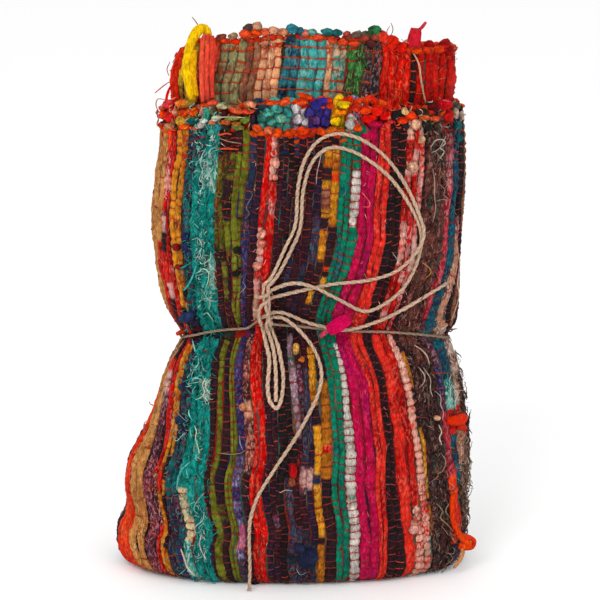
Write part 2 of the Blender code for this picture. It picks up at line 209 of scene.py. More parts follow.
def place(px, py, base=0.0, inset=0.0):
    """turn and height where the line of sight through a point of the 600 frame meets
    the front of the turn that starts at base."""
    px, py = np.broadcast_arrays(np.asarray(px, float), np.asarray(py, float))
    ray = (
        FORWARD
        + (px[..., None] - 300) / FOCAL_PX * RIGHT
        - (py[..., None] - 300) / FOCAL_PX * UPWARD
    )
    y = np.full(px.shape, -0.075)
    height = np.full(px.shape, 0.3)
    for _ in range(14):
        t = (y - EYE[1]) / ray[..., 1]
        x = EYE[0] + t * ray[..., 0]
        z = EYE[2] + t * ray[..., 2]
        low = np.full(px.shape, base + faces_at(180) + 0.001)
        high = np.full(px.shape, base + faces_at(0) - 0.001)
        for _ in range(24):
            turn = (low + high) / 2
            left = wall(turn, height, inset)[..., 0] < x
            low, high = np.where(left, turn, low), np.where(left, high, turn)
        height = np.clip(z - rise(turn, height), 0.0, 0.54)
        y = 0.5 * y + 0.5 * wall(turn, height, inset)[..., 1]
    return turn, height


# ------------------------------------------------------------------- mesh building
DYE_DEPTH = 0.76
DYE_PURITY = 1.06


def linear(rgb):
    """Screen values of 0 to 255 as the shader's linear values, for the stage's light."""
    c = np.asarray(rgb, float) / 255.0
    c = np.where(c <= 0.04045, c / 12.92, ((c + 0.055) / 1.055) ** 2.4)
    grey = c.mean(-1, keepdims=True)
    return np.clip((grey + (c - grey) * DYE_PURITY) * DYE_DEPTH, 0, 1)


def unit(v):
    return v / np.maximum(np.linalg.norm(v, axis=-1, keepdims=True), 1e-12)


class Pile:
    """Gathers points and faces with a colour at each point, for one joined mesh."""

    def __init__(self):
        self.points, self.faces, self.rag, self.fleck = [], [], [], []
        self.count = 0

    def add(self, points, faces, rag, fleck=None):
        points = np.asarray(points, float)
        rag = np.broadcast_to(rag, points.shape).reshape(-1, 3)
        points = points.reshape(-1, 3)
        if fleck is None:
            fleck = np.concatenate([rag, np.zeros((len(points), 1))], 1)
        self.points.append(points)
        self.faces += [np.asarray(f, int) + self.count for f in faces]
        self.rag.append(rag)
        self.fleck.append(np.asarray(fleck, float).reshape(-1, 4))
        self.count += len(points)

    def build(self, name, material, smooth=True):
        points = np.concatenate(self.points)
        low = points[:, 2] < 0.0008
        points[low, 2] = 0.0003 + 0.0005 * np.exp((points[low, 2] - 0.0008) / 0.0012)
        mesh = bpy.data.meshes.new(name)
        mesh.vertices.add(len(points))
        mesh.vertices.foreach_set("co", points.ravel().astype(np.float32))
        loops = np.concatenate([f.ravel() for f in self.faces])
        sizes = np.concatenate([np.full(len(f), f.shape[1]) for f in self.faces])
        mesh.loops.add(len(loops))
        mesh.loops.foreach_set("vertex_index", loops.astype(np.int32))
        mesh.polygons.add(len(sizes))
        starts = np.concatenate([[0], np.cumsum(sizes)[:-1]])
        mesh.polygons.foreach_set("loop_start", starts.astype(np.int32))
        mesh.update(calc_edges=True)
        mesh.validate()
        rag = np.concatenate([np.concatenate(self.rag), np.ones((len(points), 1))], 1)
        for key, values in (("rag", rag), ("fleck", np.concatenate(self.fleck))):
            layer = mesh.color_attributes.new(key, "FLOAT_COLOR", "POINT")
            layer.data.foreach_set("color", values.ravel().astype(np.float32))
        mesh.polygons.foreach_set("use_smooth", np.full(len(sizes), smooth))
        piece = bpy.data.objects.new(name, mesh)
        piece.data.materials.append(material)
        scene.collection.objects.link(piece)
        return piece


def ring_faces(shape, sides, caps=True):
    """Faces of many tubes at once: shape is (tubes, rings)."""
    tubes, rings = shape
    t = np.arange(tubes)[:, None, None] * rings * sides
    r = np.arange(rings - 1)[None, :, None] * sides
    s = np.arange(sides)[None, None, :]
    s2 = (s + 1) % sides
    quads = np.stack([t + r + s, t + r + s2, t + r + sides + s2, t + r + sides + s], -1)
    faces = [quads.reshape(-1, 4)]
    if caps:
        k = np.arange(1, sides - 1)[None, :]
        first = np.arange(tubes)[:, None] * rings * sides
        last = first + (rings - 1) * sides
        faces.append(
            np.stack([first + 0 * k, first + k + 1, first + k], -1).reshape(-1, 3)
        )
        faces.append(np.stack([last + 0 * k, last + k, last + k + 1], -1).reshape(-1, 3))
    return faces


def wave(rng, tubes, rings, cell):
    """Smooth random values, one row for each tube."""
    knots = int(rings / cell) + 3
    coarse = rng.normal(size=(tubes, knots))
    x = np.arange(rings) / cell + rng.random((tubes, 1))
    i = np.minimum(x.astype(int), knots - 2)
    u = x - i
    u = u * u * (3 - 2 * u)
    row = np.arange(tubes)[:, None]
    return coarse[row, i] * (1 - u) + coarse[row, i + 1] * u


def frames(path, across):
    """Unit vectors along each path, across it and out of the cloth."""
    along = unit(np.gradient(path, axis=-2))
    out = unit(np.cross(along, across))
    side = unit(np.cross(out, along))
    return along, side, out


def tube_points(path, side, out, half_width, d_out, d_in, sides, relief=None):
    """Rings round each path, flatter on the inside."""
    phi = 2 * math.pi * (np.arange(sides) + 0.5) / sides
    c, s = np.cos(phi), np.sin(phi)
    depth = np.where(s > 0, d_out[..., None] * s, d_in[..., None] * s)
    width = half_width[..., None] * c
    if relief is not None:
        width, depth = width * relief, depth * relief
    return (
        path[..., None, :]
        + side[..., None, :] * width[..., None]
        + out[..., None, :] * depth[..., None]
    )


# ------------------------------------------------------------------------- the rags
# One row for each kind of rag: its colour, a second colour and how much of it, the
# length of its patches in mm, the fleck colour and how much of it, how much it
# swells between warps, how shaggy it is and how often a warp shows across it.
LOOK_COLUMNS = (
    "rag", "second", "share", "patch", "fleck", "flecked", "lump", "shag", "dash",
)
LOOKS = {
    "tan": ((206, 142, 78), (176, 108, 56), 0.30, 40, (232, 180, 120), 0.20, 0.22, 0.15, 0.08),
    "redpink": ((198, 36, 34), (226, 168, 158), 0.34, 9, (240, 200, 190), 0.15, 0.55, 0.10, 0.15),
    "reddark": ((118, 44, 50), (74, 40, 62), 0.48, 5, (196, 130, 140), 0.24, 0.65, 0.15, 0.30),
    "rosegrey": ((164, 74, 82), (98, 44, 54), 0.40, 8, (206, 160, 156), 0.20, 0.50, 0.50, 0.30),
    "purplemix": ((92, 40, 58), (46, 28, 34), 0.48, 6, (206, 140, 150), 0.26, 0.60, 0.15, 0.35),
    "red": ((216, 34, 26), (180, 18, 20), 0.30, 26, (240, 80, 50), 0.15, 0.25, 0.10, 0.08),
    "orangered": ((234, 62, 34), (206, 36, 24), 0.35, 22, (246, 120, 70), 0.20, 0.30, 0.15, 0.08),
    "mustard": ((218, 138, 44), (182, 66, 34), 0.24, 8, (240, 176, 84), 0.16, 0.50, 0.12, 0.18),
    "mustarddark": ((222, 142, 34), (44, 26, 28), 0.52, 20, (240, 176, 70), 0.10, 0.50, 0.05, 0.40),
    "navy": ((32, 40, 62), (22, 88, 96), 0.28, 16, (96, 60, 84), 0.15, 0.45, 0.10, 0.85),
    "teal": ((24, 150, 138), (12, 106, 104), 0.38, 9, (120, 206, 192), 0.10, 0.35, 0.90, 0.05),
    "tealcream": ((24, 150, 142), (226, 214, 176), 0.30, 26, (206, 226, 216), 0.20, 0.45, 0.70, 0.10),
    "darkred": ((42, 26, 28), (28, 26, 36), 0.35, 18, (86, 44, 44), 0.12, 0.40, 0.05, 1.00),
    "olive": ((112, 118, 34), (80, 78, 26), 0.32, 14, (146, 134, 56), 0.14, 0.35, 0.30, 0.55),
    "olivedark": ((104, 108, 34), (46, 36, 28), 0.44, 11, (140, 112, 50), 0.14, 0.40, 0.30, 0.75),
    "violet": ((44, 36, 78), (62, 50, 94), 0.28, 10, (130, 122, 170), 0.12, 0.45, 0.10, 0.70),
    "mixed": ((62, 34, 36), (150, 72, 60), 0.30, 6, (214, 150, 130), 0.20, 0.55, 0.20, 0.60),
    "brightred": ((218, 30, 24), (184, 16, 16), 0.34, 20, (240, 110, 84), 0.18, 0.26, 0.20, 0.06),
    "salmon": ((232, 120, 106), (216, 40, 30), 0.42, 12, (244, 190, 176), 0.20, 0.75, 0.05, 0.10),
    "maroon": ((50, 24, 30), (30, 26, 46), 0.38, 24, (78, 40, 46), 0.12, 0.40, 0.03, 1.00),
    "black": ((26, 22, 24), (38, 22, 26), 0.30, 20, (60, 44, 44), 0.08, 0.40, 0.02, 1.00),
    "lilac": ((148, 114, 124), (112, 80, 92), 0.38, 7, (206, 178, 184), 0.22, 0.60, 0.10, 0.50),
    "lilacdark": ((54, 34, 50), (176, 150, 170), 0.30, 22, (196, 178, 190), 0.10, 0.50, 0.05, 0.80),
    "emerald": ((12, 118, 88), (8, 88, 84), 0.32, 18, (50, 150, 120), 0.10, 0.45, 0.05, 0.60),
    "emeraldwhite": ((12, 116, 86), (206, 200, 190), 0.34, 40, (226, 220, 210), 0.12, 0.60, 0.05, 0.55),
    "white": ((204, 194, 184), (178, 166, 154), 0.32, 6, (236, 228, 220), 0.20, 0.75, 0.05, 0.90),
    "magenta": ((188, 22, 70), (168, 16, 82), 0.28, 24, (220, 60, 100), 0.16, 0.22, 0.14, 0.12),
    "coral": ((236, 54, 48), (206, 32, 34), 0.34, 20, (248, 120, 96), 0.16, 0.26, 0.15, 0.12),
    "coraldark": ((226, 44, 38), (60, 24, 26), 0.28, 18, (240, 100, 80), 0.10, 0.35, 0.05, 0.30),
    "pinkred": ((232, 150, 134), (214, 36, 30), 0.48, 9, (246, 206, 190), 0.20, 0.90, 0.05, 0.12),
    "browngrey": ((108, 60, 52), (56, 30, 30), 0.44, 9, (180, 132, 118), 0.16, 0.50, 0.70, 0.60),
    "rose": ((188, 50, 64), (146, 30, 42), 0.42, 16, (230, 140, 140), 0.20, 0.40, 0.10, 0.20),
    "tealdark": ((16, 80, 98), (30, 36, 58), 0.42, 14, (60, 140, 150), 0.12, 0.45, 0.15, 0.35),
    "brownedge": ((70, 44, 38), (206, 152, 132), 0.34, 11, (226, 196, 176), 0.20, 0.50, 0.55, 0.25),
    "yellow": ((250, 200, 16), (236, 160, 20), 0.25, 20, (255, 226, 90), 0.15, 0.30, 0.15, 0.03),
    "yellowtan": ((246, 190, 26), (170, 128, 50), 0.40, 26, (255, 226, 90), 0.15, 0.30, 0.25, 0.03),
    "ribbedcoral": ((238, 90, 68), (212, 56, 46), 0.36, 12, (246, 150, 120), 0.22, 0.30, 0.25, 0.10),
    "sage": ((148, 140, 96), (130, 76, 56), 0.26, 6, (170, 170, 124), 0.22, 0.80, 0.10, 0.90),
    "maroonbrown": ((140, 76, 58), (164, 120, 90), 0.40, 6, (176, 120, 90), 0.20, 0.55, 0.20, 0.60),
    "peach": ((232, 168, 124), (186, 104, 76), 0.34, 6, (236, 194, 156), 0.20, 0.75, 0.10, 0.90),
    "tealnavy": ((34, 110, 122), (20, 34, 56), 0.48, 10, (120, 170, 170), 0.15, 0.60, 0.05, 0.90),
    "aqua": ((94, 182, 172), (46, 140, 138), 0.42, 12, (150, 206, 196), 0.18, 0.85, 0.05, 1.00),
    "peachyarn": ((224, 158, 110), (176, 92, 62), 0.40, 7, (240, 200, 170), 0.20, 0.60, 0.05, 0.60),
    "tealcreamdark": ((36, 122, 112), (216, 170, 132), 0.32, 6, (216, 190, 160), 0.18, 0.65, 0.15, 0.80),
    "fuzzygreen": ((48, 122, 58), (60, 60, 40), 0.36, 9, (120, 160, 90), 0.25, 0.50, 0.70, 0.50),
    "blackfleck": ((44, 32, 36), (88, 58, 58), 0.32, 6, (210, 190, 184), 0.16, 0.55, 0.35, 0.80),
    "redrope": ((234, 40, 30), (200, 26, 20), 0.36, 14, (248, 100, 70), 0.20, 0.24, 0.35, 0.02),
    "beigetwist": ((96, 54, 42), (196, 158, 124), 0.34, 5, (216, 190, 160), 0.24, 0.45, 0.35, 0.10),
    "deepred": ((210, 34, 28), (164, 24, 26), 0.42, 8, (206, 60, 46), 0.20, 0.50, 0.20, 0.25),
    "orangebead": ((236, 74, 30), (210, 50, 22), 0.30, 8, (246, 120, 60), 0.20, 0.80, 0.05, 0.60),
    "turquoise": ((66, 166, 150), (40, 140, 140), 0.35, 9, (120, 200, 180), 0.15, 0.80, 0.02, 0.90),
    "lilacwhite": ((206, 190, 196), (110, 70, 120), 0.35, 7, (236, 226, 226), 0.20, 0.80, 0.02, 0.40),
    "indigo": ((58, 46, 128), (46, 34, 100), 0.35, 10, (100, 84, 160), 0.12, 0.45, 0.10, 0.40),
    "blue": ((36, 72, 150), (24, 44, 100), 0.35, 14, (90, 130, 190), 0.12, 0.40, 0.10, 0.50),
    "orangebrown": ((178, 102, 34), (122, 64, 28), 0.32, 16, (220, 146, 60), 0.15, 0.40, 0.10, 0.35),
    "mustard2": ((206, 134, 42), (170, 84, 28), 0.34, 9, (240, 180, 80), 0.18, 0.60, 0.20, 0.30),
    "mustardred": ((216, 140, 50), (186, 52, 26), 0.40, 7, (240, 176, 80), 0.15, 0.55, 0.10, 0.20),
    "redplain": ((204, 32, 24), (150, 14, 14), 0.34, 16, (236, 110, 90), 0.14, 0.30, 0.12, 0.10),
    "tandark": ((200, 140, 100), (60, 36, 28), 0.40, 12, (226, 180, 140), 0.20, 0.35, 0.20, 0.12),
    "pinkgrey": ((206, 150, 142), (96, 44, 50), 0.40, 10, (232, 196, 190), 0.20, 0.50, 0.25, 0.20),
    "pinklump": ((238, 166, 146), (220, 70, 56), 0.22, 6, (250, 210, 194), 0.22, 1.00, 0.05, 0.30),
    "palepink": ((206, 146, 120), (224, 176, 150), 0.35, 14, (236, 206, 184), 0.20, 0.35, 0.15, 0.10),
    "tealnavy2": ((18, 104, 104), (38, 44, 64), 0.50, 6, (90, 110, 120), 0.16, 0.55, 0.50, 0.70),
    "navylump": ((40, 52, 96), (50, 30, 62), 0.36, 10, (60, 100, 130), 0.15, 0.80, 0.10, 0.60),
    "tealwhite": ((34, 150, 138), (120, 190, 176), 0.42, 7, (216, 228, 216), 0.24, 0.40, 0.95, 0.05),
    "creamlump": ((224, 202, 156), (228, 176, 124), 0.36, 9, (240, 226, 196), 0.20, 0.85, 0.15, 0.30),
    "violetlilac": ((96, 84, 118), (60, 52, 88), 0.40, 8, (170, 156, 184), 0.22, 0.50, 0.15, 0.40),
    "rosepink": ((194, 54, 84), (150, 90, 130), 0.34, 12, (226, 140, 150), 0.20, 0.40, 0.15, 0.20),
    "mauvedark": ((62, 34, 52), (110, 52, 76), 0.34, 10, (180, 130, 140), 0.18, 0.50, 0.15, 0.60),
    "peachpink": ((208, 146, 116), (150, 84, 70), 0.32, 12, (236, 196, 176), 0.22, 0.45, 0.45, 0.15),
    "palestrand": ((222, 186, 164), (120, 62, 52), 0.34, 10, (240, 220, 206), 0.22, 0.50, 0.40, 0.15),
    "greybrown": ((144, 114, 96), (92, 66, 54), 0.42, 7, (186, 170, 150), 0.22, 0.45, 1.00, 0.20),
    "brownfuzz": ((84, 52, 42), (50, 32, 28), 0.40, 8, (170, 146, 126), 0.16, 0.45, 0.85, 0.30),
    "slate": ((44, 46, 66), (58, 30, 46), 0.36, 12, (100, 110, 120), 0.16, 0.50, 0.05, 0.90),
    "deepcoral": ((232, 54, 44), (188, 16, 14), 0.44, 50, (246, 110, 90), 0.14, 0.26, 0.15, 0.12),
    "rust": ((170, 74, 36), (120, 46, 30), 0.35, 18, (206, 110, 60), 0.15, 0.35, 0.08, 0.30),
    "browndark": ((64, 38, 36), (36, 22, 24), 0.42, 8, (160, 124, 112), 0.14, 0.50, 0.70, 0.60),
    "winered": ((124, 26, 30), (70, 22, 28), 0.45, 6, (160, 66, 60), 0.20, 0.50, 0.20, 0.40),
}

# The stripes on the outer turn's front. Each row has its picks, which name the kinds of
# rag from the top down with the row of the 600 frame where one gives way to the next,
# and the stripe's left edges across the frame at FRONT_ROWS.
FRONT_ROWS = (132, 200, 238, 262, 295, 318, 345, 380, 450, 560)
FRONT = (
    (("orangered 138 tan 318 orangered 338 tandark 352 tan",
      "tan 236 redplain 318 orangered 338 tandark 362 tan"),
     (160.6, 153.6, 154.8, 155.5, 164.0, 170.0, 176.0, 160.5, 137.0, 134.5)),
    (("orangered 150 redpink 172 pinkred 200 redplain 212 pinkgrey 232 darkred 250 redplain 282 pinkgrey 300"
      " darkred 342 darkred 356 redplain 370 pinkgrey 402 purplemix 470 reddark",),
     (166.0, 162.0, 161.1, 160.5, 169.0, 175.0, 181.0, 164.4, 149.8, 148.0)),
    (("redplain 176 redpink 196 redplain 264 redpink 272 redplain 470 mixed 520 redplain",),
     (170.5, 166.0, 166.0, 166.0, 173.7, 179.0, 184.0, 169.7, 160.0, 157.5)),
    (("mustard 306 darkred 344 mustard 470 redplain 492 mustardred",),
     (175.0, 168.0, 168.5, 170.5, 178.5, 183.0, 188.0, 174.3, 165.0, 161.0)),
    (("mustard 150 mustardred 200 mustard 242 maroonbrown 252 mustard 264 maroonbrown 272"
      " orangebrown 290 darkred 298 orangered 303 mustard 309 darkred 346 mustard 452"
      " darkred 478 mustard 492 darkred 545 mustardred",),
     (181.0, 174.0, 174.5, 176.5, 182.5, 186.0, 190.0, 177.5, 169.0, 164.5)),
    (("navy 148 tealnavy2 228 navylump 252 tealnavy2 306 navylump 345 navy 398 tealnavy2 414"
      " navy 446 tealnavy2 502 slate",
      "navy 150 tealnavy2 230 navylump 250 tealnavy2 308 navylump 345 navy 396 tealnavy2 416"
      " navy 440 tealnavy2 488 mauvedark 520 navy 544 navylump"),
     (186.7, 180.0, 180.5, 182.0, 186.5, 189.0, 192.5, 180.4, 172.8, 168.0)),
    (("tealnavy2 158 teal 486 creamlump 540 tealwhite",),
     (198.0, 189.5, 189.5, 189.5, 193.9, 197.0, 196.0, 192.7, 183.5, 184.0)),
    (("teal 150 tealwhite 186 teal",),
     (205.0, 197.5, 197.5, 197.5, 201.6, 204.5, 202.5, 197.5, 191.5, 193.0)),
    (("tealwhite 190 teal 254 tealwhite 288 teal 376 tealwhite 398 teal",),
     (211.5, 205.5, 205.5, 205.5, 209.3, 212.0, 209.5, 203.0, 200.0, 202.5)),
    (("darkred 152 olivedark 245 darkred",),
     (217.6, 213.0, 213.0, 213.0, 216.5, 219.0, 216.5, 208.8, 208.0, 211.5)),
    (("darkred 150 olivedark 250 darkred 262 olivedark 300 darkred 342 olive",),
     (224.0, 215.5, 217.6, 219.0, 222.8, 225.5, 221.5, 216.5, 213.6, 214.5)),
    (("darkred 154 olivedark 178 darkred 222 olive 246 olivedark 262 darkred 500 olivedark 518"
      " darkred",),
     (230.0, 221.0, 223.8, 225.5, 227.9, 229.5, 227.0, 222.0, 219.5, 223.0)),
    (("darkred 148 olive 246 olivedark 254 olive 268 darkred 276 olive",),
     (235.0, 230.0, 230.3, 230.5, 231.7, 232.5, 231.5, 228.0, 228.7, 230.0)),
    (("olive 200 olivedark 222 olive 246 black 254 olive 268 black 276 olive 325 darkred 334"
      " olive 472 olivedark 484 olive",),
     (242.0, 237.0, 236.4, 236.0, 236.3, 236.5, 234.5, 230.5, 232.5, 233.6)),
    (("navy 222 mauvedark 232 violet 455 violetlilac 486 violet 498 violetlilac 505 violet 517"
      " violetlilac 524 rosepink 550 violetlilac 566 slate",),
     (249.0, 243.0, 241.2, 240.0, 240.0, 240.0, 237.5, 233.0, 236.3, 237.2)),
    (("maroon 334 mixed 402 peachpink 414 mixed 470 darkred",),
     (256.5, 251.5, 248.7, 247.0, 246.1, 245.5, 244.5, 240.2, 244.8, 246.0)),
    (("redplain 148 brightred 228 pinklump 250 redpink 290 palepink 318 brightred",),
     (263.6, 259.2, 256.3, 254.5, 252.4, 251.0, 250.4, 248.4, 254.5, 252.5)),
    (("pinkred 156 pinklump 182 redplain 196 redpink 216 brightred",),
     (270.0, 266.0, 263.2, 261.5, 258.6, 256.5, 255.5, 254.0, 258.4, 260.0)),
    (("maroon", "maroon 520 mauvedark 534 maroon"),
     (277.0, 275.5, 272.7, 271.0, 266.0, 262.5, 261.5, 261.0, 266.6, 266.5)),
    (("black 170 maroon 230 black", "navy 160 black 196 maroon 260 navy 290 black 480 slate"),
     (288.0, 286.0, 282.9, 281.0, 275.7, 272.0, 273.0, 274.0, 279.0, 280.0)),
    (("maroon 342 lilac 440 maroon 458 winered 490 maroon 530 slate",),
     (299.0, 297.5, 294.1, 292.0, 286.1, 282.0, 286.0, 288.6, 298.0, 296.0)),
    (("maroon 262 navy 290 maroon 366 mauvedark 392 slate 466 pinkgrey 492 maroon 530 slate",
      "maroon 214 slate 262 maroon 366 slate 440 maroon 466 pinkgrey 486 maroon 540 navy"),
     (306.5, 305.0, 301.8, 299.5, 293.0, 288.5, 293.0, 297.0, 303.0, 302.0)),
    (("darkred 150 mustard2 166 darkred 182 mustard2 190 maroonbrown 212 mustard2 221 darkred 230"
      " mustard2 262 darkred 290 mustard2 304 darkred 350 mustard2 402 darkred 425 mustard2 474"
      " navy 484 mustard2 536 darkred 546 orangebrown",),
     (322.0, 321.5, 319.6, 316.5, 307.4, 301.0, 306.0, 308.0, 315.2, 317.5)),
    (("darkred 150 mustard2 178 orangered 186 mustard2 228 darkred 268 orangered 273 darkred 278"
      " mustard2 290 darkred 384 orangebrown 446 redplain 456 orangebrown 478 darkred",),
     (331.5, 331.0, 328.2, 324.5, 315.2, 308.0, 312.5, 317.5, 322.0, 325.5)),
    (("emerald", "emerald 252 tealnavy2 280 emerald"),
     (340.0, 339.0, 337.0, 330.5, 322.8, 315.0, 319.0, 327.6, 333.0, 337.0)),
    (("emerald 168 white 224 emerald 342 white 478 emeraldwhite 493 white",),
     (352.5, 350.5, 348.4, 343.5, 333.1, 324.5, 333.5, 341.0, 346.2, 351.0)),
    (("magenta", "magenta"),
     (362.5, 360.0, 358.4, 351.5, 340.0, 330.5, 338.0, 347.4, 356.6, 361.0)),
    (("coral", "coral 336 deepcoral"),
     (380.0, 374.0, 375.3, 370.0, 360.6, 353.0, 351.5, 368.0, 375.5, 381.0)),
    (("black",), (392.5, 389.0, 386.5, 382.0, 374.8, 368.0, 364.5, 378.5, 387.5, 388.5)),
    (("black",), (400.0, 395.5, 394.7, 391.0, 381.3, 373.5, 368.0, 382.0, 391.0, 398.0)),
    (("pinklump 140 redplain 160 pinklump 174 redpink 188 redplain 222 pinkred 264 redplain 300"
      " redpink 318 redplain 334 deepcoral",),
     (408.5, 402.0, 400.2, 397.5, 386.4, 378.5, 372.5, 385.5, 394.5, 407.0)),
    (("redplain 150 redpink 176 redplain 214 redpink 280 redplain 505 pinklump",
      "redpink 136 pinkred 176 redpink 334 pinklump 506 pinkred 540 pinklump"),
     (415.5, 410.5, 407.1, 405.0, 392.9, 386.0, 382.5, 396.0, 408.5, 417.5)),
    (("darkred 352 orangebrown 386 darkred 428 mustard2 494 darkred 505 orangebrown 536 darkred",),
     (426.0, 422.5, 419.1, 417.0, 403.7, 395.0, 397.0, 411.0, 423.0, 434.0)),
    (("browngrey 350 browndark", "browngrey 362 browndark", "browngrey 340 browndark"),
     (429.0, 425.0, 421.3, 419.0, 407.2, 399.7, 403.0, 413.5, 427.5, 434.5)),
    (("darkred 136 rosegrey 190 rose 322 mauvedark 372 violet 395 mauvedark 415 rose 480 orangered 545"
      " slate",),
     (447.5, 446.5, 443.1, 441.0, 429.8, 422.0, 427.5, 438.5, 445.4, 452.0)),
    (("tealdark 384 tealwhite 410 redplain 431 tealdark 480 brownfuzz",),
     (455.0, 452.5, 449.4, 447.5, 436.0, 428.0, 433.0, 444.0, 452.5, 457.0)),
    (("black 216 rosegrey 240 peachpink 330 palestrand 410 redplain 431 peachpink 462"
      " greybrown",),
     (460.3, 457.6, 455.8, 454.6, 443.9, 436.5, 444.5, 454.0, 459.0, 461.0)),
)
FRONT_RIGHT = (463.6, 461.0, 460.1, 459.6, 451.6, 445.0, 453.0, 458.8, 465.5, 465.5)

# The stripes that the sides and the back show, from the loose end to the front's left
# edge, and from the front's right edge round to where the turn goes under.
LEFT_SIDE = (
    "rust", "rust", "tealdark", "mustard", "magenta", "magenta", "black", "black",
    "emerald", "lilac", "darkred", "darkred", "peach 236 tan 330 tandark 372 orangered",
    "tan 318 orangered 338 tandark 390 orangered", "tan 318 orangered 338 tandark 380 orangered",
)
RIGHT_SIDE = (
    "black 330 brownfuzz 412 redplain 430 greybrown", "maroonbrown 330 brownfuzz 470 greybrown",
    "navy", "tealdark 300 navy", "white", "maroon", "maroon", "darkred", "teal", "teal",
    "tan", "black", "black", "coral 240 redplain", "coral", "olive", "olivedark", "darkred",
    "darkred", "violet", "mixed", "brightred", "brightred 300 redpink", "maroon", "maroon",
    "black", "mustard2", "emerald", "emerald", "magenta", "magenta 280 rosepink", "black",
    "slate", "peach", "browngrey", "browngrey", "blue", "rust", "darkred", "darkred", "redpink",
)

# The stripes at the top of the fold's inner layer and of the turn inside, across the
# 600 frame from left to right.
INNER_FRONT = (
    ("orangered", 174, 1), ("tealdark", 182, 1), ("orangebead", 197, 2), ("sage", 216, 1),
    ("orangebead", 226, 3), ("tealdark", 250, 1), ("turquoise", 258, 4), ("lilacwhite", 291, 2),
    ("indigo", 309, 3), ("yellow", 332, 2), ("orangebead", 346, 1), ("lilacwhite", 352, 1),
    ("redrope", 362, 3), ("darkred", 386, 2), ("peach", 402, 2), ("black", 416, 2),
    ("deepred", 430, 2), ("browngrey", 444, 1),
)
CORE_FRONT = (
    ("orangered", 168, 2), ("yellowtan", 181, 2), ("ribbedcoral", 197, 3), ("sage", 216.5, 3),
    ("maroonbrown", 244, 2), ("peach", 258, 3), ("tealnavy", 281, 2), ("aqua", 298.5, 3),
    ("peachyarn", 325, 1), ("tealcreamdark", 331.5, 2), ("fuzzygreen", 346, 2),
    ("blackfleck", 363, 2), ("redrope", 381, 4), ("darkred", 410.5, 1), ("deepred", 416, 4),
    ("deepred", 445, 1),
)
LOOK_NAMES = list(LOOKS)
OTHERS = (
    "maroon", "black", "darkred", "navy", "orangered", "mustard", "teal", "olive", "magenta",
    "coral", "redpink", "violet", "tan", "emerald", "white", "brightred", "mixed", "lilac",
    "blue", "rust", "peach", "aqua", "deepred", "sage",
)


def arc_table(height, inset, start, stop, count=400):
    """Lengths along the winding at one height, from start to stop."""
    turns = np.linspace(start, stop, count)
    points = wall(turns, height, inset)
    steps = np.linalg.norm(np.diff(points, axis=0), axis=1)
    return turns, np.concatenate([[0.0], np.cumsum(steps)])


GRID_H = np.linspace(0.0, 0.52, 131)


def read_kinds(spec, rows_y, rows_h):
    """The kinds of rag down one pick, at every height of GRID_H."""
    words = spec.split()
    kinds = np.full(len(GRID_H), LOOK_NAMES.index(words[0]))
    order = np.argsort(rows_y)
    for y, name in zip(words[1::2], words[2::2]):
        h = np.interp(float(y), rows_y[order], rows_h[order])
        kinds[GRID_H < h] = LOOK_NAMES.index(name)
    return kinds


def outer_picks():
    """For each pick of the outer turn: its kinds, the turn of its middle and its width
    at every height of GRID_H."""
    starts = np.array([row[1] for row in FRONT] + [FRONT_RIGHT])
    turn, height = place(starts, np.array(FRONT_ROWS)[None, :])
    rows_y = np.array(FRONT_ROWS, float)
    kinds = [read_kinds(spec, rows_y, height[0]) for spec in LEFT_SIDE]
    for b, (specs, _) in enumerate(FRONT):
        kinds += [read_kinds(spec, rows_y, height[b]) for spec in specs]
    kinds += [read_kinds(spec, rows_y, height[-1]) for spec in RIGHT_SIDE]
    counts = [len(row[0]) for row in FRONT]

    middles, widths = [], []
    for h in GRID_H:
        turns, lengths = arc_table(h, 0.0024, 0.0, 1.0)
        bound = []
        for b in range(len(starts)):
            order = np.argsort(height[b])
            bound.append(np.interp(h, height[b][order], turn[b][order]))
        bound = np.interp(np.maximum.accumulate(bound), turns, lengths)
        for b in range(1, len(bound)):
            bound[b] = max(bound[b], bound[b - 1] + 0.0018 * counts[b - 1])
        marks = [np.linspace(0.002, bound[0], len(LEFT_SIDE) + 1)]
        for b, count in enumerate(counts):
            marks.append(np.linspace(bound[b], bound[b + 1], count + 1)[1:])
        marks.append(np.linspace(bound[-1], lengths[-1], len(RIGHT_SIDE) + 1)[1:])
        marks = np.concatenate(marks)
        middles.append(np.interp((marks[1:] + marks[:-1]) / 2, lengths, turns))
        widths.append(np.diff(marks))
    middles, widths = np.array(middles).T, np.array(widths).T
    kernel = np.array([1, 3, 4, 3, 1]) / 12
    for grid in (middles, widths):
        padded = np.pad(grid, ((0, 0), (2, 2)), mode="edge")
        grid[:] = sum(k * padded[:, i : i + grid.shape[1]] for i, k in enumerate(kernel))
    return np.array(kinds), middles, widths


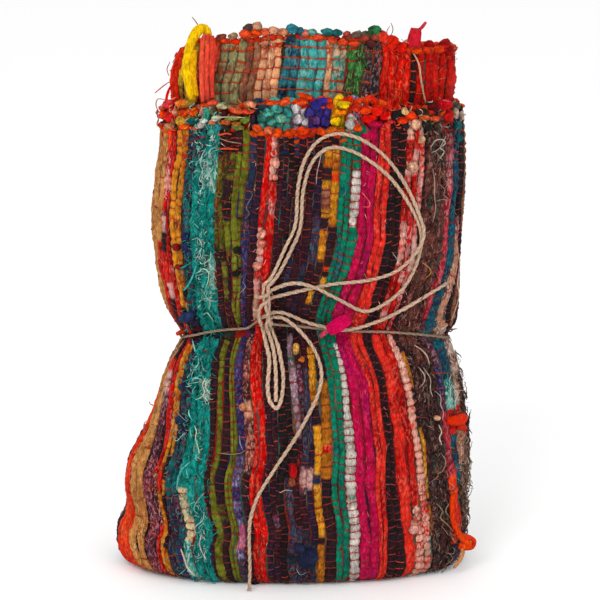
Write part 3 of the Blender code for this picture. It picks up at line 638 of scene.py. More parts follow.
def plain_picks(base, stop, inset, height, front, rng, pitch=0.0068):
    """Picks of an inner layer, as outer_picks gives them: the front's kinds from a
    table and the rest in a mixed order."""
    turns, lengths = arc_table(height, inset, base, stop)
    names, marks = [], [0.0]

    def fill_to(end):
        room = end - marks[-1]
        count = max(0, round(room / pitch))
        first = marks[-1]
        k = 0
        while k < count:
            run = min(int(rng.integers(1, 4)), count - k)
            names.extend([OTHERS[int(rng.integers(len(OTHERS)))]] * run)
            k += run
        marks.extend((first + room * (np.arange(count) + 1) / max(count, 1)).tolist())

    if front:
        rows = [f[1] for f in front] + [453.0]
        turn, _ = place(rows, 70.0 if base >= 1 else 106.0, math.floor(base), inset)
        at = np.interp(turn, turns, lengths)
        fill_to(at[0])
        for b, (name, _, count) in enumerate(front):
            names.extend([name] * count)
            begin, end = marks[-1], max(at[b + 1], marks[-1] + 0.002)
            marks.extend((begin + (end - begin) * (np.arange(count) + 1) / count).tolist())
    fill_to(lengths[-1])
    marks = np.array(marks)
    middle = np.interp((marks[1:] + marks[:-1]) / 2, lengths, turns)
    share = np.diff(marks)
    kinds = np.array([LOOK_NAMES.index(n) for n in names])
    return tuple(np.repeat(x[:, None], len(GRID_H), 1) for x in (kinds, middle, share))


def on_cloth(points, base=0.0, inset=0.0):
    """Points over the front of a turn from rows of frame x, frame y and lift in mm."""
    p = np.asarray(points, float)
    turn, height = place(p[:, 0], p[:, 1], base, inset)
    return wall(turn, height, inset - p[:, 2] / 1000)


def in_view(points):
    """Points on the lines of sight from rows of frame x, frame y and distance behind
    the axis in mm."""
    p = np.asarray(points, float)
    ray = FORWARD + ((p[:, :1] - 300) * RIGHT - (p[:, 1:2] - 300) * UPWARD) / FOCAL_PX
    t = (p[:, 2:] / 1000 - EYE[1]) / ray[:, 1:2]
    return EYE + t * ray

# The twine's routes, in metres.
ROUTES = {
    "bow_outer": (
        (-0.0254, -0.0752, 0.2904), (-0.0193, -0.0750, 0.2966), (-0.0151, -0.0752, 0.3042),
        (-0.0116, -0.0758, 0.3122), (-0.0082, -0.0767, 0.3201), (-0.0047, -0.0775, 0.3281),
        (-0.0008, -0.0778, 0.3359), (0.0024, -0.0779, 0.3439), (0.0041, -0.0779, 0.3525),
        (0.0045, -0.0779, 0.3612), (0.0047, -0.0779, 0.3699), (0.0054, -0.0779, 0.3786),
        (0.0066, -0.0777, 0.3872), (0.0084, -0.0775, 0.3958), (0.0111, -0.0772, 0.4040),
        (0.0150, -0.0770, 0.4118), (0.0201, -0.0767, 0.4189), (0.0268, -0.0763, 0.4244),
        (0.0348, -0.0758, 0.4276), (0.0435, -0.0751, 0.4283), (0.0520, -0.0744, 0.4267),
        (0.0601, -0.0735, 0.4236), (0.0676, -0.0725, 0.4193), (0.0746, -0.0713, 0.4143),
        (0.0811, -0.0700, 0.4086), (0.0869, -0.0687, 0.4022), (0.0921, -0.0674, 0.3954),
        (0.0969, -0.0661, 0.3882), (0.1014, -0.0649, 0.3808), (0.1055, -0.0640, 0.3732),
        (0.1092, -0.0632, 0.3654), (0.1125, -0.0624, 0.3573), (0.1155, -0.0616, 0.3492),
        (0.1183, -0.0612, 0.3409), (0.1188, -0.0612, 0.3323), (0.1159, -0.0615, 0.3241),
        (0.1113, -0.0622, 0.3167), (0.1057, -0.0630, 0.3101), (0.0993, -0.0639, 0.3043),
        (0.0920, -0.0651, 0.2998), (0.0839, -0.0665, 0.2968), (0.0755, -0.0678, 0.2947),
        (0.0670, -0.0690, 0.2932), (0.0584, -0.0702, 0.2924), (0.0498, -0.0713, 0.2919),
        (0.0411, -0.0720, 0.2913), (0.0325, -0.0723, 0.2900), (0.0240, -0.0723, 0.2883),
        (0.0155, -0.0720, 0.2864), (0.0070, -0.0717, 0.2843), (-0.0015, -0.0717, 0.2823),
        (-0.0099, -0.0722, 0.2803), (-0.0184, -0.0731, 0.2784),
    ),
    "bow_inner": (
        (-0.0215, -0.0756, 0.2894), (-0.0154, -0.0753, 0.2959), (-0.0106, -0.0754, 0.3033),
        (-0.0065, -0.0759, 0.3111), (-0.0026, -0.0767, 0.3190), (0.0011, -0.0775, 0.3271),
        (0.0048, -0.0779, 0.3351), (0.0073, -0.0779, 0.3436), (0.0086, -0.0779, 0.3524),
        (0.0089, -0.0779, 0.3612), (0.0093, -0.0779, 0.3701), (0.0104, -0.0779, 0.3789),
        (0.0123, -0.0777, 0.3876), (0.0148, -0.0775, 0.3960), (0.0187, -0.0772, 0.4040),
        (0.0244, -0.0769, 0.4107), (0.0319, -0.0765, 0.4154), (0.0406, -0.0759, 0.4161),
        (0.0492, -0.0752, 0.4141), (0.0574, -0.0744, 0.4108), (0.0650, -0.0734, 0.4063),
        (0.0722, -0.0722, 0.4013), (0.0790, -0.0709, 0.3958), (0.0854, -0.0694, 0.3898),
        (0.0912, -0.0679, 0.3833), (0.0964, -0.0663, 0.3763), (0.1012, -0.0645, 0.3690),
        (0.1056, -0.0627, 0.3615), (0.1097, -0.0608, 0.3539), (0.1133, -0.0592, 0.3460),
        (0.1159, -0.0580, 0.3376), (0.1169, -0.0571, 0.3289), (0.1162, -0.0567, 0.3201),
        (0.1144, -0.0566, 0.3114), (0.1117, -0.0569, 0.3029), (0.1081, -0.0576, 0.2949),
        (0.1035, -0.0586, 0.2873), (0.0979, -0.0595, 0.2805), (0.0914, -0.0603, 0.2746),
        (0.0841, -0.0609, 0.2696), (0.0764, -0.0618, 0.2654), (0.0679, -0.0631, 0.2632),
        (0.0596, -0.0648, 0.2653), (0.0521, -0.0668, 0.2697), (0.0449, -0.0692, 0.2743),
        (0.0378, -0.0719, 0.2787), (0.0306, -0.0746, 0.2832), (0.0231, -0.0765, 0.2875),
        (0.0149, -0.0774, 0.2907), (0.0063, -0.0776, 0.2928), (-0.0025, -0.0772, 0.2923),
        (-0.0109, -0.0762, 0.2895), (-0.0187, -0.0748, 0.2856),
    ),
    "end_right": (
        (-0.0178, -0.0666, 0.2630), (-0.0090, -0.0662, 0.2628), (-0.0010, -0.0643, 0.2596),
        (0.0067, -0.0625, 0.2556), (0.0146, -0.0611, 0.2520), (0.0230, -0.0601, 0.2493),
        (0.0315, -0.0594, 0.2471), (0.0401, -0.0589, 0.2453), (0.0489, -0.0588, 0.2448),
        (0.0576, -0.0590, 0.2461), (0.0662, -0.0583, 0.2481), (0.0745, -0.0569, 0.2507),
        (0.0827, -0.0559, 0.2537), (0.0908, -0.0554, 0.2574), (0.0986, -0.0544, 0.2613),
        (0.1063, -0.0528, 0.2653), (0.1139, -0.0508, 0.2694), (0.1214, -0.0484, 0.2734),
        (0.1286, -0.0447, 0.2769), (0.1355, -0.0400, 0.2798), (0.1417, -0.0342, 0.2823),
    ),
    "end_down": (
        (-0.0178, -0.0649, 0.2584), (-0.0090, -0.0643, 0.2574), (-0.0014, -0.0642, 0.2528),
        (0.0054, -0.0644, 0.2469), (0.0115, -0.0651, 0.2404), (0.0169, -0.0661, 0.2334),
        (0.0214, -0.0675, 0.2258), (0.0248, -0.0692, 0.2177), (0.0267, -0.0703, 0.2091),
        (0.0267, -0.0713, 0.2003), (0.0249, -0.0726, 0.1916), (0.0219, -0.0741, 0.1834),
        (0.0182, -0.0756, 0.1754), (0.0141, -0.0770, 0.1675), (0.0099, -0.0782, 0.1598),
        (0.0055, -0.0793, 0.1521), (0.0008, -0.0803, 0.1445), (-0.0041, -0.0811, 0.1371),
        (-0.0090, -0.0816, 0.1297), (-0.0139, -0.0819, 0.1222), (-0.0186, -0.0822, 0.1146),
        (-0.0234, -0.0823, 0.1070), (-0.0279, -0.0822, 0.0993), (-0.0319, -0.0818, 0.0914),
        (-0.0349, -0.0812, 0.0830), (-0.0375, -0.0808, 0.0744), (-0.0390, -0.0806, 0.0657),
        (-0.0395, -0.0806, 0.0567), (-0.0396, -0.0806, 0.0478), (-0.0394, -0.0807, 0.0389),
        (-0.0392, -0.0808, 0.0299), (-0.0390, -0.0810, 0.0210), (-0.0394, -0.0816, 0.0121),
        (-0.0399, -0.0819, 0.0032),
    ),
    "hang_outer": (
        (-0.0266, -0.0578, 0.2470), (-0.0250, -0.0603, 0.2388), (-0.0231, -0.0631, 0.2307),
        (-0.0211, -0.0663, 0.2228), (-0.0207, -0.0682, 0.2143), (-0.0214, -0.0692, 0.2057),
        (-0.0221, -0.0703, 0.1970), (-0.0217, -0.0718, 0.1884), (-0.0196, -0.0736, 0.1801),
        (-0.0139, -0.0750, 0.1751), (-0.0099, -0.0738, 0.1826), (-0.0085, -0.0721, 0.1911),
        (-0.0079, -0.0706, 0.1997), (-0.0083, -0.0695, 0.2083), (-0.0097, -0.0684, 0.2169),
        (-0.0113, -0.0659, 0.2251), (-0.0136, -0.0629, 0.2330), (-0.0167, -0.0603, 0.2407),
        (-0.0202, -0.0579, 0.2484),
    ),
    "hang_inner": (
        (-0.0228, -0.0623, 0.2468), (-0.0199, -0.0633, 0.2389), (-0.0176, -0.0646, 0.2308),
        (-0.0161, -0.0663, 0.2227), (-0.0152, -0.0680, 0.2144), (-0.0147, -0.0693, 0.2060),
        (-0.0146, -0.0706, 0.1976), (-0.0146, -0.0721, 0.1893), (-0.0148, -0.0738, 0.1810),
    ),
    "tie_band": (
        (-0.0182, -0.0626, 0.2510), (-0.0095, -0.0616, 0.2499), (-0.0008, -0.0605, 0.2489),
        (0.0079, -0.0595, 0.2478), (0.0166, -0.0585, 0.2467), (0.0254, -0.0575, 0.2457),
        (0.0341, -0.0565, 0.2447), (0.0428, -0.0556, 0.2436), (0.0515, -0.0546, 0.2427),
        (0.0603, -0.0540, 0.2420), (0.0688, -0.0519, 0.2413), (0.0773, -0.0495, 0.2405),
        (0.0857, -0.0470, 0.2396), (0.0941, -0.0444, 0.2385), (0.1022, -0.0412, 0.2369),
        (0.1102, -0.0379, 0.2354), (0.1182, -0.0344, 0.2337), (0.1255, -0.0299, 0.2318),
        (0.1317, -0.0240, 0.2296), (0.1375, -0.0179, 0.2272), (0.1431, -0.0113, 0.2251),
        (0.1468, -0.0037, 0.2234), (0.1461, 0.0050, 0.2224), (0.1451, 0.0138, 0.2220),
        (0.1423, 0.0221, 0.2220), (0.1374, 0.0294, 0.2220), (0.1306, 0.0350, 0.2220),
        (0.1236, 0.0404, 0.2220), (0.1160, 0.0449, 0.2220), (0.1080, 0.0486, 0.2220),
        (0.1000, 0.0523, 0.2220), (0.0917, 0.0554, 0.2220), (0.0829, 0.0563, 0.2220),
        (0.0741, 0.0570, 0.2220), (0.0653, 0.0576, 0.2220), (0.0565, 0.0581, 0.2220),
        (0.0477, 0.0584, 0.2220), (0.0389, 0.0587, 0.2220), (0.0300, 0.0589, 0.2220),
        (0.0212, 0.0592, 0.2220), (0.0124, 0.0594, 0.2220), (0.0035, 0.0597, 0.2220),
        (-0.0053, 0.0599, 0.2220), (-0.0141, 0.0601, 0.2220), (-0.0230, 0.0603, 0.2220),
        (-0.0318, 0.0604, 0.2220), (-0.0406, 0.0605, 0.2220), (-0.0495, 0.0605, 0.2220),
        (-0.0583, 0.0604, 0.2220), (-0.0668, 0.0587, 0.2220), (-0.0746, 0.0546, 0.2220),
        (-0.0820, 0.0498, 0.2220), (-0.0889, 0.0442, 0.2220), (-0.0950, 0.0378, 0.2220),
        (-0.0999, 0.0305, 0.2220), (-0.1035, 0.0225, 0.2220), (-0.1053, 0.0138, 0.2220),
        (-0.1049, 0.0051, 0.2223), (-0.1037, -0.0035, 0.2239), (-0.1021, -0.0120, 0.2256),
        (-0.0987, -0.0198, 0.2281), (-0.0947, -0.0272, 0.2307), (-0.0876, -0.0318, 0.2332),
        (-0.0803, -0.0358, 0.2360), (-0.0727, -0.0397, 0.2383), (-0.0650, -0.0436, 0.2404),
        (-0.0572, -0.0472, 0.2421), (-0.0491, -0.0504, 0.2434), (-0.0412, -0.0538, 0.2450),
        (-0.0353, -0.0582, 0.2499), (-0.0298, -0.0626, 0.2552),
    ),
}


def read_rows(grid, heights):
    """grid holds a value at GRID_H for each pick: reads it at each pick's heights."""
    return np.stack([np.interp(h, GRID_H, g) for g, h in zip(grid, heights)])


def lay(picks, inset, layer, low, under, rng, beat=3, step=0.0024, thick=(0.0025, 0.0018)):
    """Where the rings of each pick lie, and how wide and thick it is there."""
    kinds, middles, widths = picks
    count = len(kinds)
    even = np.arange(count) % 2
    top = np.zeros(count)
    for k in range(count):
        h = 0.45
        for _ in range(3):
            h = edge(np.interp(h, GRID_H, middles[k]), layer)
        top[k] = h - 0.0020
    fine = np.linspace(0.0, 1.0, 300)
    h = top[:, None] + (low - top)[:, None] * fine
    t = read_rows(middles, h)
    w = read_rows(widths, h)
    path = wall(t, h, inset)
    if under:
        path[..., 2] = np.where(h < 0.012, inset + h * (1 - inset / 0.012), path[..., 2])
        more = np.linspace(0.003, 0.050, 16)[None, :]
        last = wall(t[:, -1:], 0.0 * more, inset + more)
        last[..., 2] = inset
        path = np.concatenate([path, last], 1)
        h = np.concatenate([h, 0 * more + 0 * h[:, -1:]], 1)
        t = np.concatenate([t, t[:, -1:] + 0 * more], 1)
        w = np.concatenate([w, w[:, -1:] * (1 - 4 * more)], 1)
    run = np.concatenate(
        [np.zeros((count, 1)), np.cumsum(np.linalg.norm(np.diff(path, axis=1), axis=2), 1)], 1
    )
    rings = int((run[:, -1].min() - step) / step)
    phase = 0.5 * beat * step * even if beat == 3 else 0.0 * even
    shift = (phase % step)[:, None]
    want = step * np.arange(rings)[None, :] + shift
    hit = np.round((want - phase[:, None]) / step).astype(int) % beat == 0

    def resample(values):
        return np.stack([np.interp(x, r, v) for x, r, v in zip(want, run, values)])

    t, w, h = resample(t), resample(w), resample(h)
    at = h + 0.0022 * rng.normal(size=(count, 1))
    at = np.clip(np.round(at / GRID_H[1]).astype(int), 0, len(GRID_H) - 1)
    kind = np.take_along_axis(kinds, at, 1)
    path = np.stack([resample(path[..., c]) for c in range(3)], -1)
    across = wall(t + 0.003, h, inset) - wall(t - 0.003, h, inset)
    across[..., 2] *= 1.0
    along, side, out = frames(path, unit(across))
    outward = wall(t, h, 0.0) - wall(t, h, 0.004)
    flip = np.sign((out * outward).sum(-1).mean())
    out, side = out * flip, side * flip

    def trait(name):
        k = LOOK_COLUMNS.index(name)
        return np.array([row[k] for row in LOOKS.values()], float)[kind]

    lump, shag = trait("lump"), trait("shag")
    swell = 1 + 0.5 * wave(rng, count, rings, 5) * 0.30 + 0.06 * wave(rng, count, rings, 1.5)
    half_width = w / 2 * 1.08 * (1 + 0.11 * wave(rng, count, rings, 7))
    half_width = half_width * np.where(hit, 1 - 0.20 * lump, 1 + 0.07 * lump)
    depth = np.minimum(thick[0], 0.25 * w + 0.0012)
    d_out = depth * swell * np.where(hit, 1 - 0.42 * lump, 1 + 0.10 * lump)
    d_in = thick[1] * (1 + 0.1 * wave(rng, count, rings, 4))
    path = path + side * (0.00045 * wave(rng, count, rings, 9))[..., None]
    path = path + out * (0.00020 * wave(rng, count, rings, 14))[..., None]
    path[..., 2] = np.maximum(path[..., 2], 0.0012)
    ends = np.ones(rings)
    ends[0], ends[-1] = 0.45, 0.6
    return {
        "path": path, "along": along, "side": side, "out": out, "h": h, "t": t, "hit": hit,
        "half_width": half_width * ends, "d_out": d_out * ends, "d_in": d_in * ends,
        "trait": trait, "kind": kind, "shag": shag, "top": top, "w": w,
    }


def rag_colours(laid, sides, rng):
    """Colour and fleck at every point of the picks, with painted shade where the warps pinch them."""
    trait = laid["trait"]
    count, rings = laid["half_width"].shape
    base, second, fleck = (linear(trait(n)) for n in ("rag", "second", "fleck"))
    share, patch, flecked = trait("share"), trait("patch"), trait("flecked")
    long, short = wave(rng, count, rings, 12), wave(rng, count, rings, 3.2)
    blend = np.clip((patch - 8) / 16, 0, 1)
    field = (long * blend + short * (1 - blend))[..., None] + 0.45 * rng.normal(
        size=(count, rings, sides)
    ) * (1 - 0.6 * blend[..., None])
    limit = 0.84 * np.sqrt(2) * (0.5 - share)[..., None] * 2.4
    mask = 1 / (1 + np.exp(-(field - limit) * 5.0))
    rag = base[..., None, :] * (1 - mask[..., None]) + second[..., None, :] * mask[..., None]
    shade = 1 + 0.09 * rng.normal(size=(count, 1, 1)) + 0.07 * rng.normal(size=(count, rings, sides))
    shade = shade * (1 + 0.08 * wave(rng, count, rings, 4)[..., None])
    # Painted shade: each rag is darkened where a warp crosses and pulls it in, more for lumpier rags, and
    # lightened a little between the crossings.
    pinch_shade = np.where(laid["hit"], 0.86 - 0.16 * trait("lump"), 1.03)
    rag = np.clip(rag * (shade * pinch_shade[..., None])[..., None], 0, 1)
    patchy = 0.5 + 0.5 * np.tanh(1.4 * wave(rng, count, rings, 6))
    amount = np.clip(flecked * (0.5 + patchy) * 1.1, 0, 1)
    flecks = np.concatenate(
        [
            np.broadcast_to(fleck[..., None, :], rag.shape),
            np.broadcast_to(amount[..., None, None], rag.shape[:-1] + (1,)),
        ],
        -1,
    )
    return rag, flecks


def add_rags(pile, laid, rng, sides=7, pick_range=None):
    count, rings = laid["half_width"].shape
    crumple = wave(rng, count * sides, rings, 4.5).reshape(count, sides, rings).transpose(0, 2, 1)
    relief = 1 + (0.05 + 0.08 * laid["shag"])[..., None] * rng.normal(size=(count, rings, sides))
    relief = relief + 0.10 * crumple
    points = tube_points(
        laid["path"], laid["side"], laid["out"], laid["half_width"], laid["d_out"], laid["d_in"],
        sides, relief,
    )
    points[..., 2] = np.maximum(points[..., 2], 0.0002)
    rag, fleck = rag_colours(laid, sides, rng)
    phi = 2 * math.pi * (np.arange(sides) + 0.5) / sides
    # Painted shade: the sides and back of each pick, where it meets its neighbours, are darkened down to
    # half, and the dents of its crumples are darker than the bulges.
    gap_shade = 0.50 + 0.50 * np.clip((np.sin(phi) + 0.25) / 0.75, 0, 1)
    gap_shade = gap_shade * (1 + 0.16 * np.clip(crumple, -1.5, 1.5))
    rag = np.clip(rag * gap_shade[..., None], 0, 1)
    chosen = np.arange(count) if pick_range is None else np.arange(*pick_range)
    faces = ring_faces((len(chosen), rings), sides)
    p = points[chosen]
    q = p.reshape(-1, 3)
    f = faces[0][: rings * sides]
    centre = q[: rings * sides].mean(0)
    a, b, c = (q[f[:, k]] - centre for k in range(3))
    if np.einsum("ij,ij->i", a, np.cross(b, c)).sum() < 0:
        faces = [x[:, ::-1] for x in faces]
    pile.add(p, faces, rag[chosen], fleck[chosen])


WARP_COLOURS = linear(
    [(126, 48, 50), (104, 38, 48), (146, 56, 44), (88, 36, 44), (186, 72, 44), (136, 62, 68)]
)


def add_warps(pile, laid, rng, bright=0.0, thick=0.00052, skip_top=2):
    """A short arc of warp over each pick where one crosses it."""
    hit = laid["hit"].copy()
    hit[:, :skip_top] = False
    hit[:, -1] = False
    chance = laid["trait"]("dash")
    chosen = hit & (rng.random(hit.shape) < chance)
    j, i = np.nonzero(chosen)
    n = len(j)
    get = {k: laid[k][j, i] for k in ("path", "along", "side", "out", "half_width", "d_out")}
    phi = np.radians([6, 48, 90, 132, 174])
    c, s = np.cos(phi), np.sin(phi)
    slant = 0.0007 * rng.normal(size=(n, 1))
    bow = 0.0004 * rng.normal(size=(n, 1))
    reach = get["half_width"][:, None] * 1.04
    middle = (
        get["path"][:, None, :]
        + get["side"][:, None, :] * (reach * c)[..., None]
        + get["out"][:, None, :] * ((get["d_out"][:, None] + 0.00005) * s)[..., None]
        + get["along"][:, None, :] * (slant * c + bow * s)[..., None]
    )
    normal = unit(
        get["side"][:, None, :] * (0.7 * c)[None, :, None] + get["out"][:, None, :] * s[None, :, None]
    )
    size = thick * (1 + 0.18 * rng.normal(size=(n, 1, 1)))
    along = get["along"][:, None, :]
    points = np.stack(
        [middle - along * size * 1.15, middle + normal * size * 1.25, middle + along * size * 1.15],
        2,
    )
    faces = ring_faces((n, 5), 3)
    q = points.reshape(-1, 3)
    f = faces[0][:12]
    centre = q[:15].mean(0)
    a, b, d = (q[f[:, k]] - centre for k in range(3))
    if np.einsum("ij,ij->i", a, np.cross(b, d)).sum() < 0:
        faces = [x[:, ::-1] for x in faces]
    pick_of = WARP_COLOURS[rng.choice(6, n, p=[0.26, 0.24, 0.18, 0.16, 0.07, 0.09])]
    under = linear(laid["trait"]("rag"))[j, i]
    light = np.clip(under.mean(1, keepdims=True) * 3.0, 0, 1)
    tone = pick_of * (1 - light) + linear((196, 70, 52)) * light
    if bright:
        tone = 0.35 * tone + 0.65 * linear((222, 84, 48))
    tone = tone * (1 + 0.18 * rng.normal(size=(n, 1)))
    near_top = np.clip(1 - (laid["top"][j] - laid["h"][j, i]) / 0.05, 0, 1)[:, None]
    tone = tone * (1 - 0.75 * near_top) + linear((228, 78, 40)) * 0.75 * near_top
    rag = np.broadcast_to(np.clip(tone, 0, 1)[:, None, None, :], points.shape)
    fleck = np.concatenate([np.clip(rag * 0.45, 0, 1), np.full(rag.shape[:-1] + (1,), 0.30)], -1)
    pile.add(points, faces, rag, fleck)
    return n


def ball(longitudes=8, latitudes=4):
    """A unit ball as rings, with its faces."""
    theta = math.pi * (np.arange(latitudes) + 0.5) / latitudes
    phi = 2 * math.pi * np.arange(longitudes) / longitudes
    p = np.stack(
        [
            np.outer(np.sin(theta), np.cos(phi)),
            np.outer(np.sin(theta), np.sin(phi)),
            np.outer(np.cos(theta), np.ones(longitudes)),
        ],
        -1,
    )
    return p.reshape(-1, 3), ring_faces((1, latitudes), longitudes)


def add_beads(pile, laid, rng, rows, colours):
    """The thick doubled warps of the selvedge, lumps that pass over every other pick."""
    unit_ball, ball_faces = ball()
    count = len(laid["kind"])
    for down, first, radius, odds in rows:
        i = int(round(down / 0.0024))
        for j in range(count):
            if first is not None and j % 2 != first:
                continue
            chance = odds[j] if np.ndim(odds) else odds
            if rng.random() > chance:
                continue
            p, side, out, along = (laid[k][j, i] for k in ("path", "side", "out", "along"))
            wide = laid["w"][j, i] * (0.66 + 0.08 * rng.random())
            high = radius * (0.85 + 0.35 * rng.random())
            deep = radius * (0.95 + 0.25 * rng.random()) + 0.0009
            centre = p - along * (down - i * 0.0024) * -1 + out * 0.0003
            q = unit_ball * (1 + 0.06 * rng.normal(size=(len(unit_ball), 1)))
            tilt = 0.25 * rng.normal()
            points = (
                centre
                + side * (q[:, :1] * wide)
                + along * (q[:, 1:2] * high + q[:, :1] * wide * tilt)
                + out * (q[:, 2:3] * deep)
            )
            tone = linear(colours[int(rng.integers(len(colours)))]) * (1 + 0.10 * rng.normal())
            tone = np.clip(tone, 0, 1) * (1 + 0.06 * rng.normal(size=(len(points), 1)))
            fleck = np.concatenate([np.clip(tone * 0.5, 0, 1), np.full((len(points), 1), 0.3)], 1)
            pile.add(points, ball_faces, np.clip(tone, 0, 1), fleck)


def spline(points, step):
    """Points a step apart on a smooth curve through these."""
    p = np.asarray(points, float)
    ext = np.concatenate([2 * p[:1] - p[1:2], p, 2 * p[-1:] - p[-2:-1]])
    out = []
    for k in range(len(p) - 1):
        p0, p1, p2, p3 = ext[k : k + 4]
        u = np.linspace(0, 1, 16, endpoint=False)[:, None]
        out.append(
            0.5 * (2 * p1 + (p2 - p0) * u + (2 * p0 - 5 * p1 + 4 * p2 - p3) * u**2
                   + (3 * p1 - p0 - 3 * p2 + p3) * u**3)
        )
    out = np.concatenate(out + [p[-1:]])
    run = np.concatenate([[0], np.cumsum(np.linalg.norm(np.diff(out, axis=0), axis=1))])
    n = max(3, int(round(run[-1] / step)) + 1)
    want = np.linspace(0, run[-1], n)
    return np.stack([np.interp(want, run, out[:, c]) for c in range(3)], 1)


def carried_frame(path):
    """A frame carried along the path without twisting."""
    along = unit(np.gradient(path, axis=0))
    start = np.array([0.0, -1.0, 0.2])
    u = unit(start - along[0] * (start @ along[0]))
    us = [u]
    for a in along[1:]:
        u = unit(u - a * (u @ a))
        us.append(u)
    us = np.array(us)
    return along, us, np.cross(along, us)


def add_tube(pile, path, radius, colour, rng, sides=6, flat=1.0, fleck=None, twist=0.0, normal=None):
    """A plain round or flattened strand along a path."""
    path = np.asarray(path, float)
    along, u, v = carried_frame(path)
    if normal is not None:
        normal = unit(np.broadcast_to(normal, path.shape))
        u = unit(normal - along * (normal * along).sum(-1, keepdims=True))
        v = np.cross(along, u)
    radius = np.broadcast_to(radius, len(path))
    phi = 2 * math.pi * np.arange(sides)[None, :] / sides + twist * np.arange(len(path))[:, None]
    points = (
        path[:, None, :]
        + u[:, None, :] * (radius[:, None] * flat * np.cos(phi))[..., None]
        + v[:, None, :] * (radius[:, None] * np.sin(phi))[..., None]
    )
    shade = 1 + 0.07 * rng.normal(size=points.shape[:2] + (1,))
    rag = np.clip(np.broadcast_to(np.asarray(colour, float), (len(path), 3))[:, None, :] * shade, 0, 1)
    if fleck is None:
        fl = np.concatenate([np.clip(rag * 1.4, 0, 1), np.full(rag.shape[:-1] + (1,), 0.2)], -1)
    else:
        fl = np.concatenate(
            [np.broadcast_to(fleck[:3], rag.shape), np.full(rag.shape[:-1] + (1,), fleck[3])], -1
        )
    pile.add(points, ring_faces((1, len(path)), sides), rag, fl)


def add_fibres(pile, roots, ways, lengths, thick, colours, rng, droop=0.3, curl=0.5):
    """Fine loose fibres, each a curved tapering prism."""
    n = len(roots)
    ways = unit(ways)
    bend = unit(np.cross(ways, rng.normal(size=(n, 3))))
    rings, sides = 4, 3
    s = np.linspace(0, 1, rings)[None, :, None]
    amount = (curl * rng.normal(size=(n, 1)))[:, None]
    L = np.asarray(lengths)[:, None, None]
    path = (
        np.asarray(roots)[:, None, :]
        + ways[:, None, :] * s * L
        + bend[:, None, :] * (s**2) * L * amount
        + np.array([0, 0, -1.0]) * (s**2) * L * droop
    )
    along = unit(np.gradient(path, axis=1))
    u = unit(np.cross(along, rng.normal(size=(n, 1, 3))))
    v = np.cross(along, u)
    r = (np.asarray(thick) * np.ones(n))[:, None] * np.array([1.0, 0.95, 0.80, 0.35])[None, :]
    phi = 2 * math.pi * np.arange(sides) / sides
    points = (
        path[:, :, None, :]
        + u[:, :, None, :] * (r[..., None] * np.cos(phi))[..., None]
        + v[:, :, None, :] * (r[..., None] * np.sin(phi))[..., None]
    )
    points[..., 2] = np.maximum(points[..., 2], 0.0004)
    rag = np.broadcast_to(np.asarray(colours)[:, None, None, :], points.shape)
    pile.add(points, ring_faces((n, rings), sides), rag)


def add_shag(pile, laid, rng, per_ring, length, thick, only=0.35, lift=0.5):
    """Fuzz on the shaggy rags."""
    shag = laid["shag"]
    count, rings = shag.shape
    odds = np.where(shag > only, shag, 0.0) * per_ring
    j, i = np.nonzero(rng.random(shag.shape) < odds)
    n = len(j)
    if not n:
        return 0
    phi = np.radians(rng.uniform(25, 155, n))
    c, s = np.cos(phi)[:, None], np.sin(phi)[:, None]
    side, out, along = laid["side"][j, i], laid["out"][j, i], laid["along"][j, i]
    root = (
        laid["path"][j, i]
        + side * c * laid["half_width"][j, i][:, None] * 0.9
        + out * s * laid["d_out"][j, i][:, None] * 0.85
    )
    way = side * c * 0.8 + out * s * lift + along * rng.normal(size=(n, 1)) * 1.1
    base = linear(laid["trait"]("rag"))[j, i]
    fleck = linear(laid["trait"]("fleck"))[j, i]
    second = linear(laid["trait"]("second"))[j, i]
    roll = rng.random((n, 1))
    pale = laid["trait"]("flecked")[j, i][:, None] * 1.0
    tone = np.where(roll < pale, fleck, np.where(roll < 0.75, base, second))
    tone = np.clip(tone * rng.uniform(0.55, 1.5, (n, 1)), 0, 1)
    add_fibres(
        pile, root, way, rng.uniform(*length, n), thick * rng.uniform(0.7, 1.3, n), tone, rng,
        droop=0.1, curl=0.7,
    )
    return n


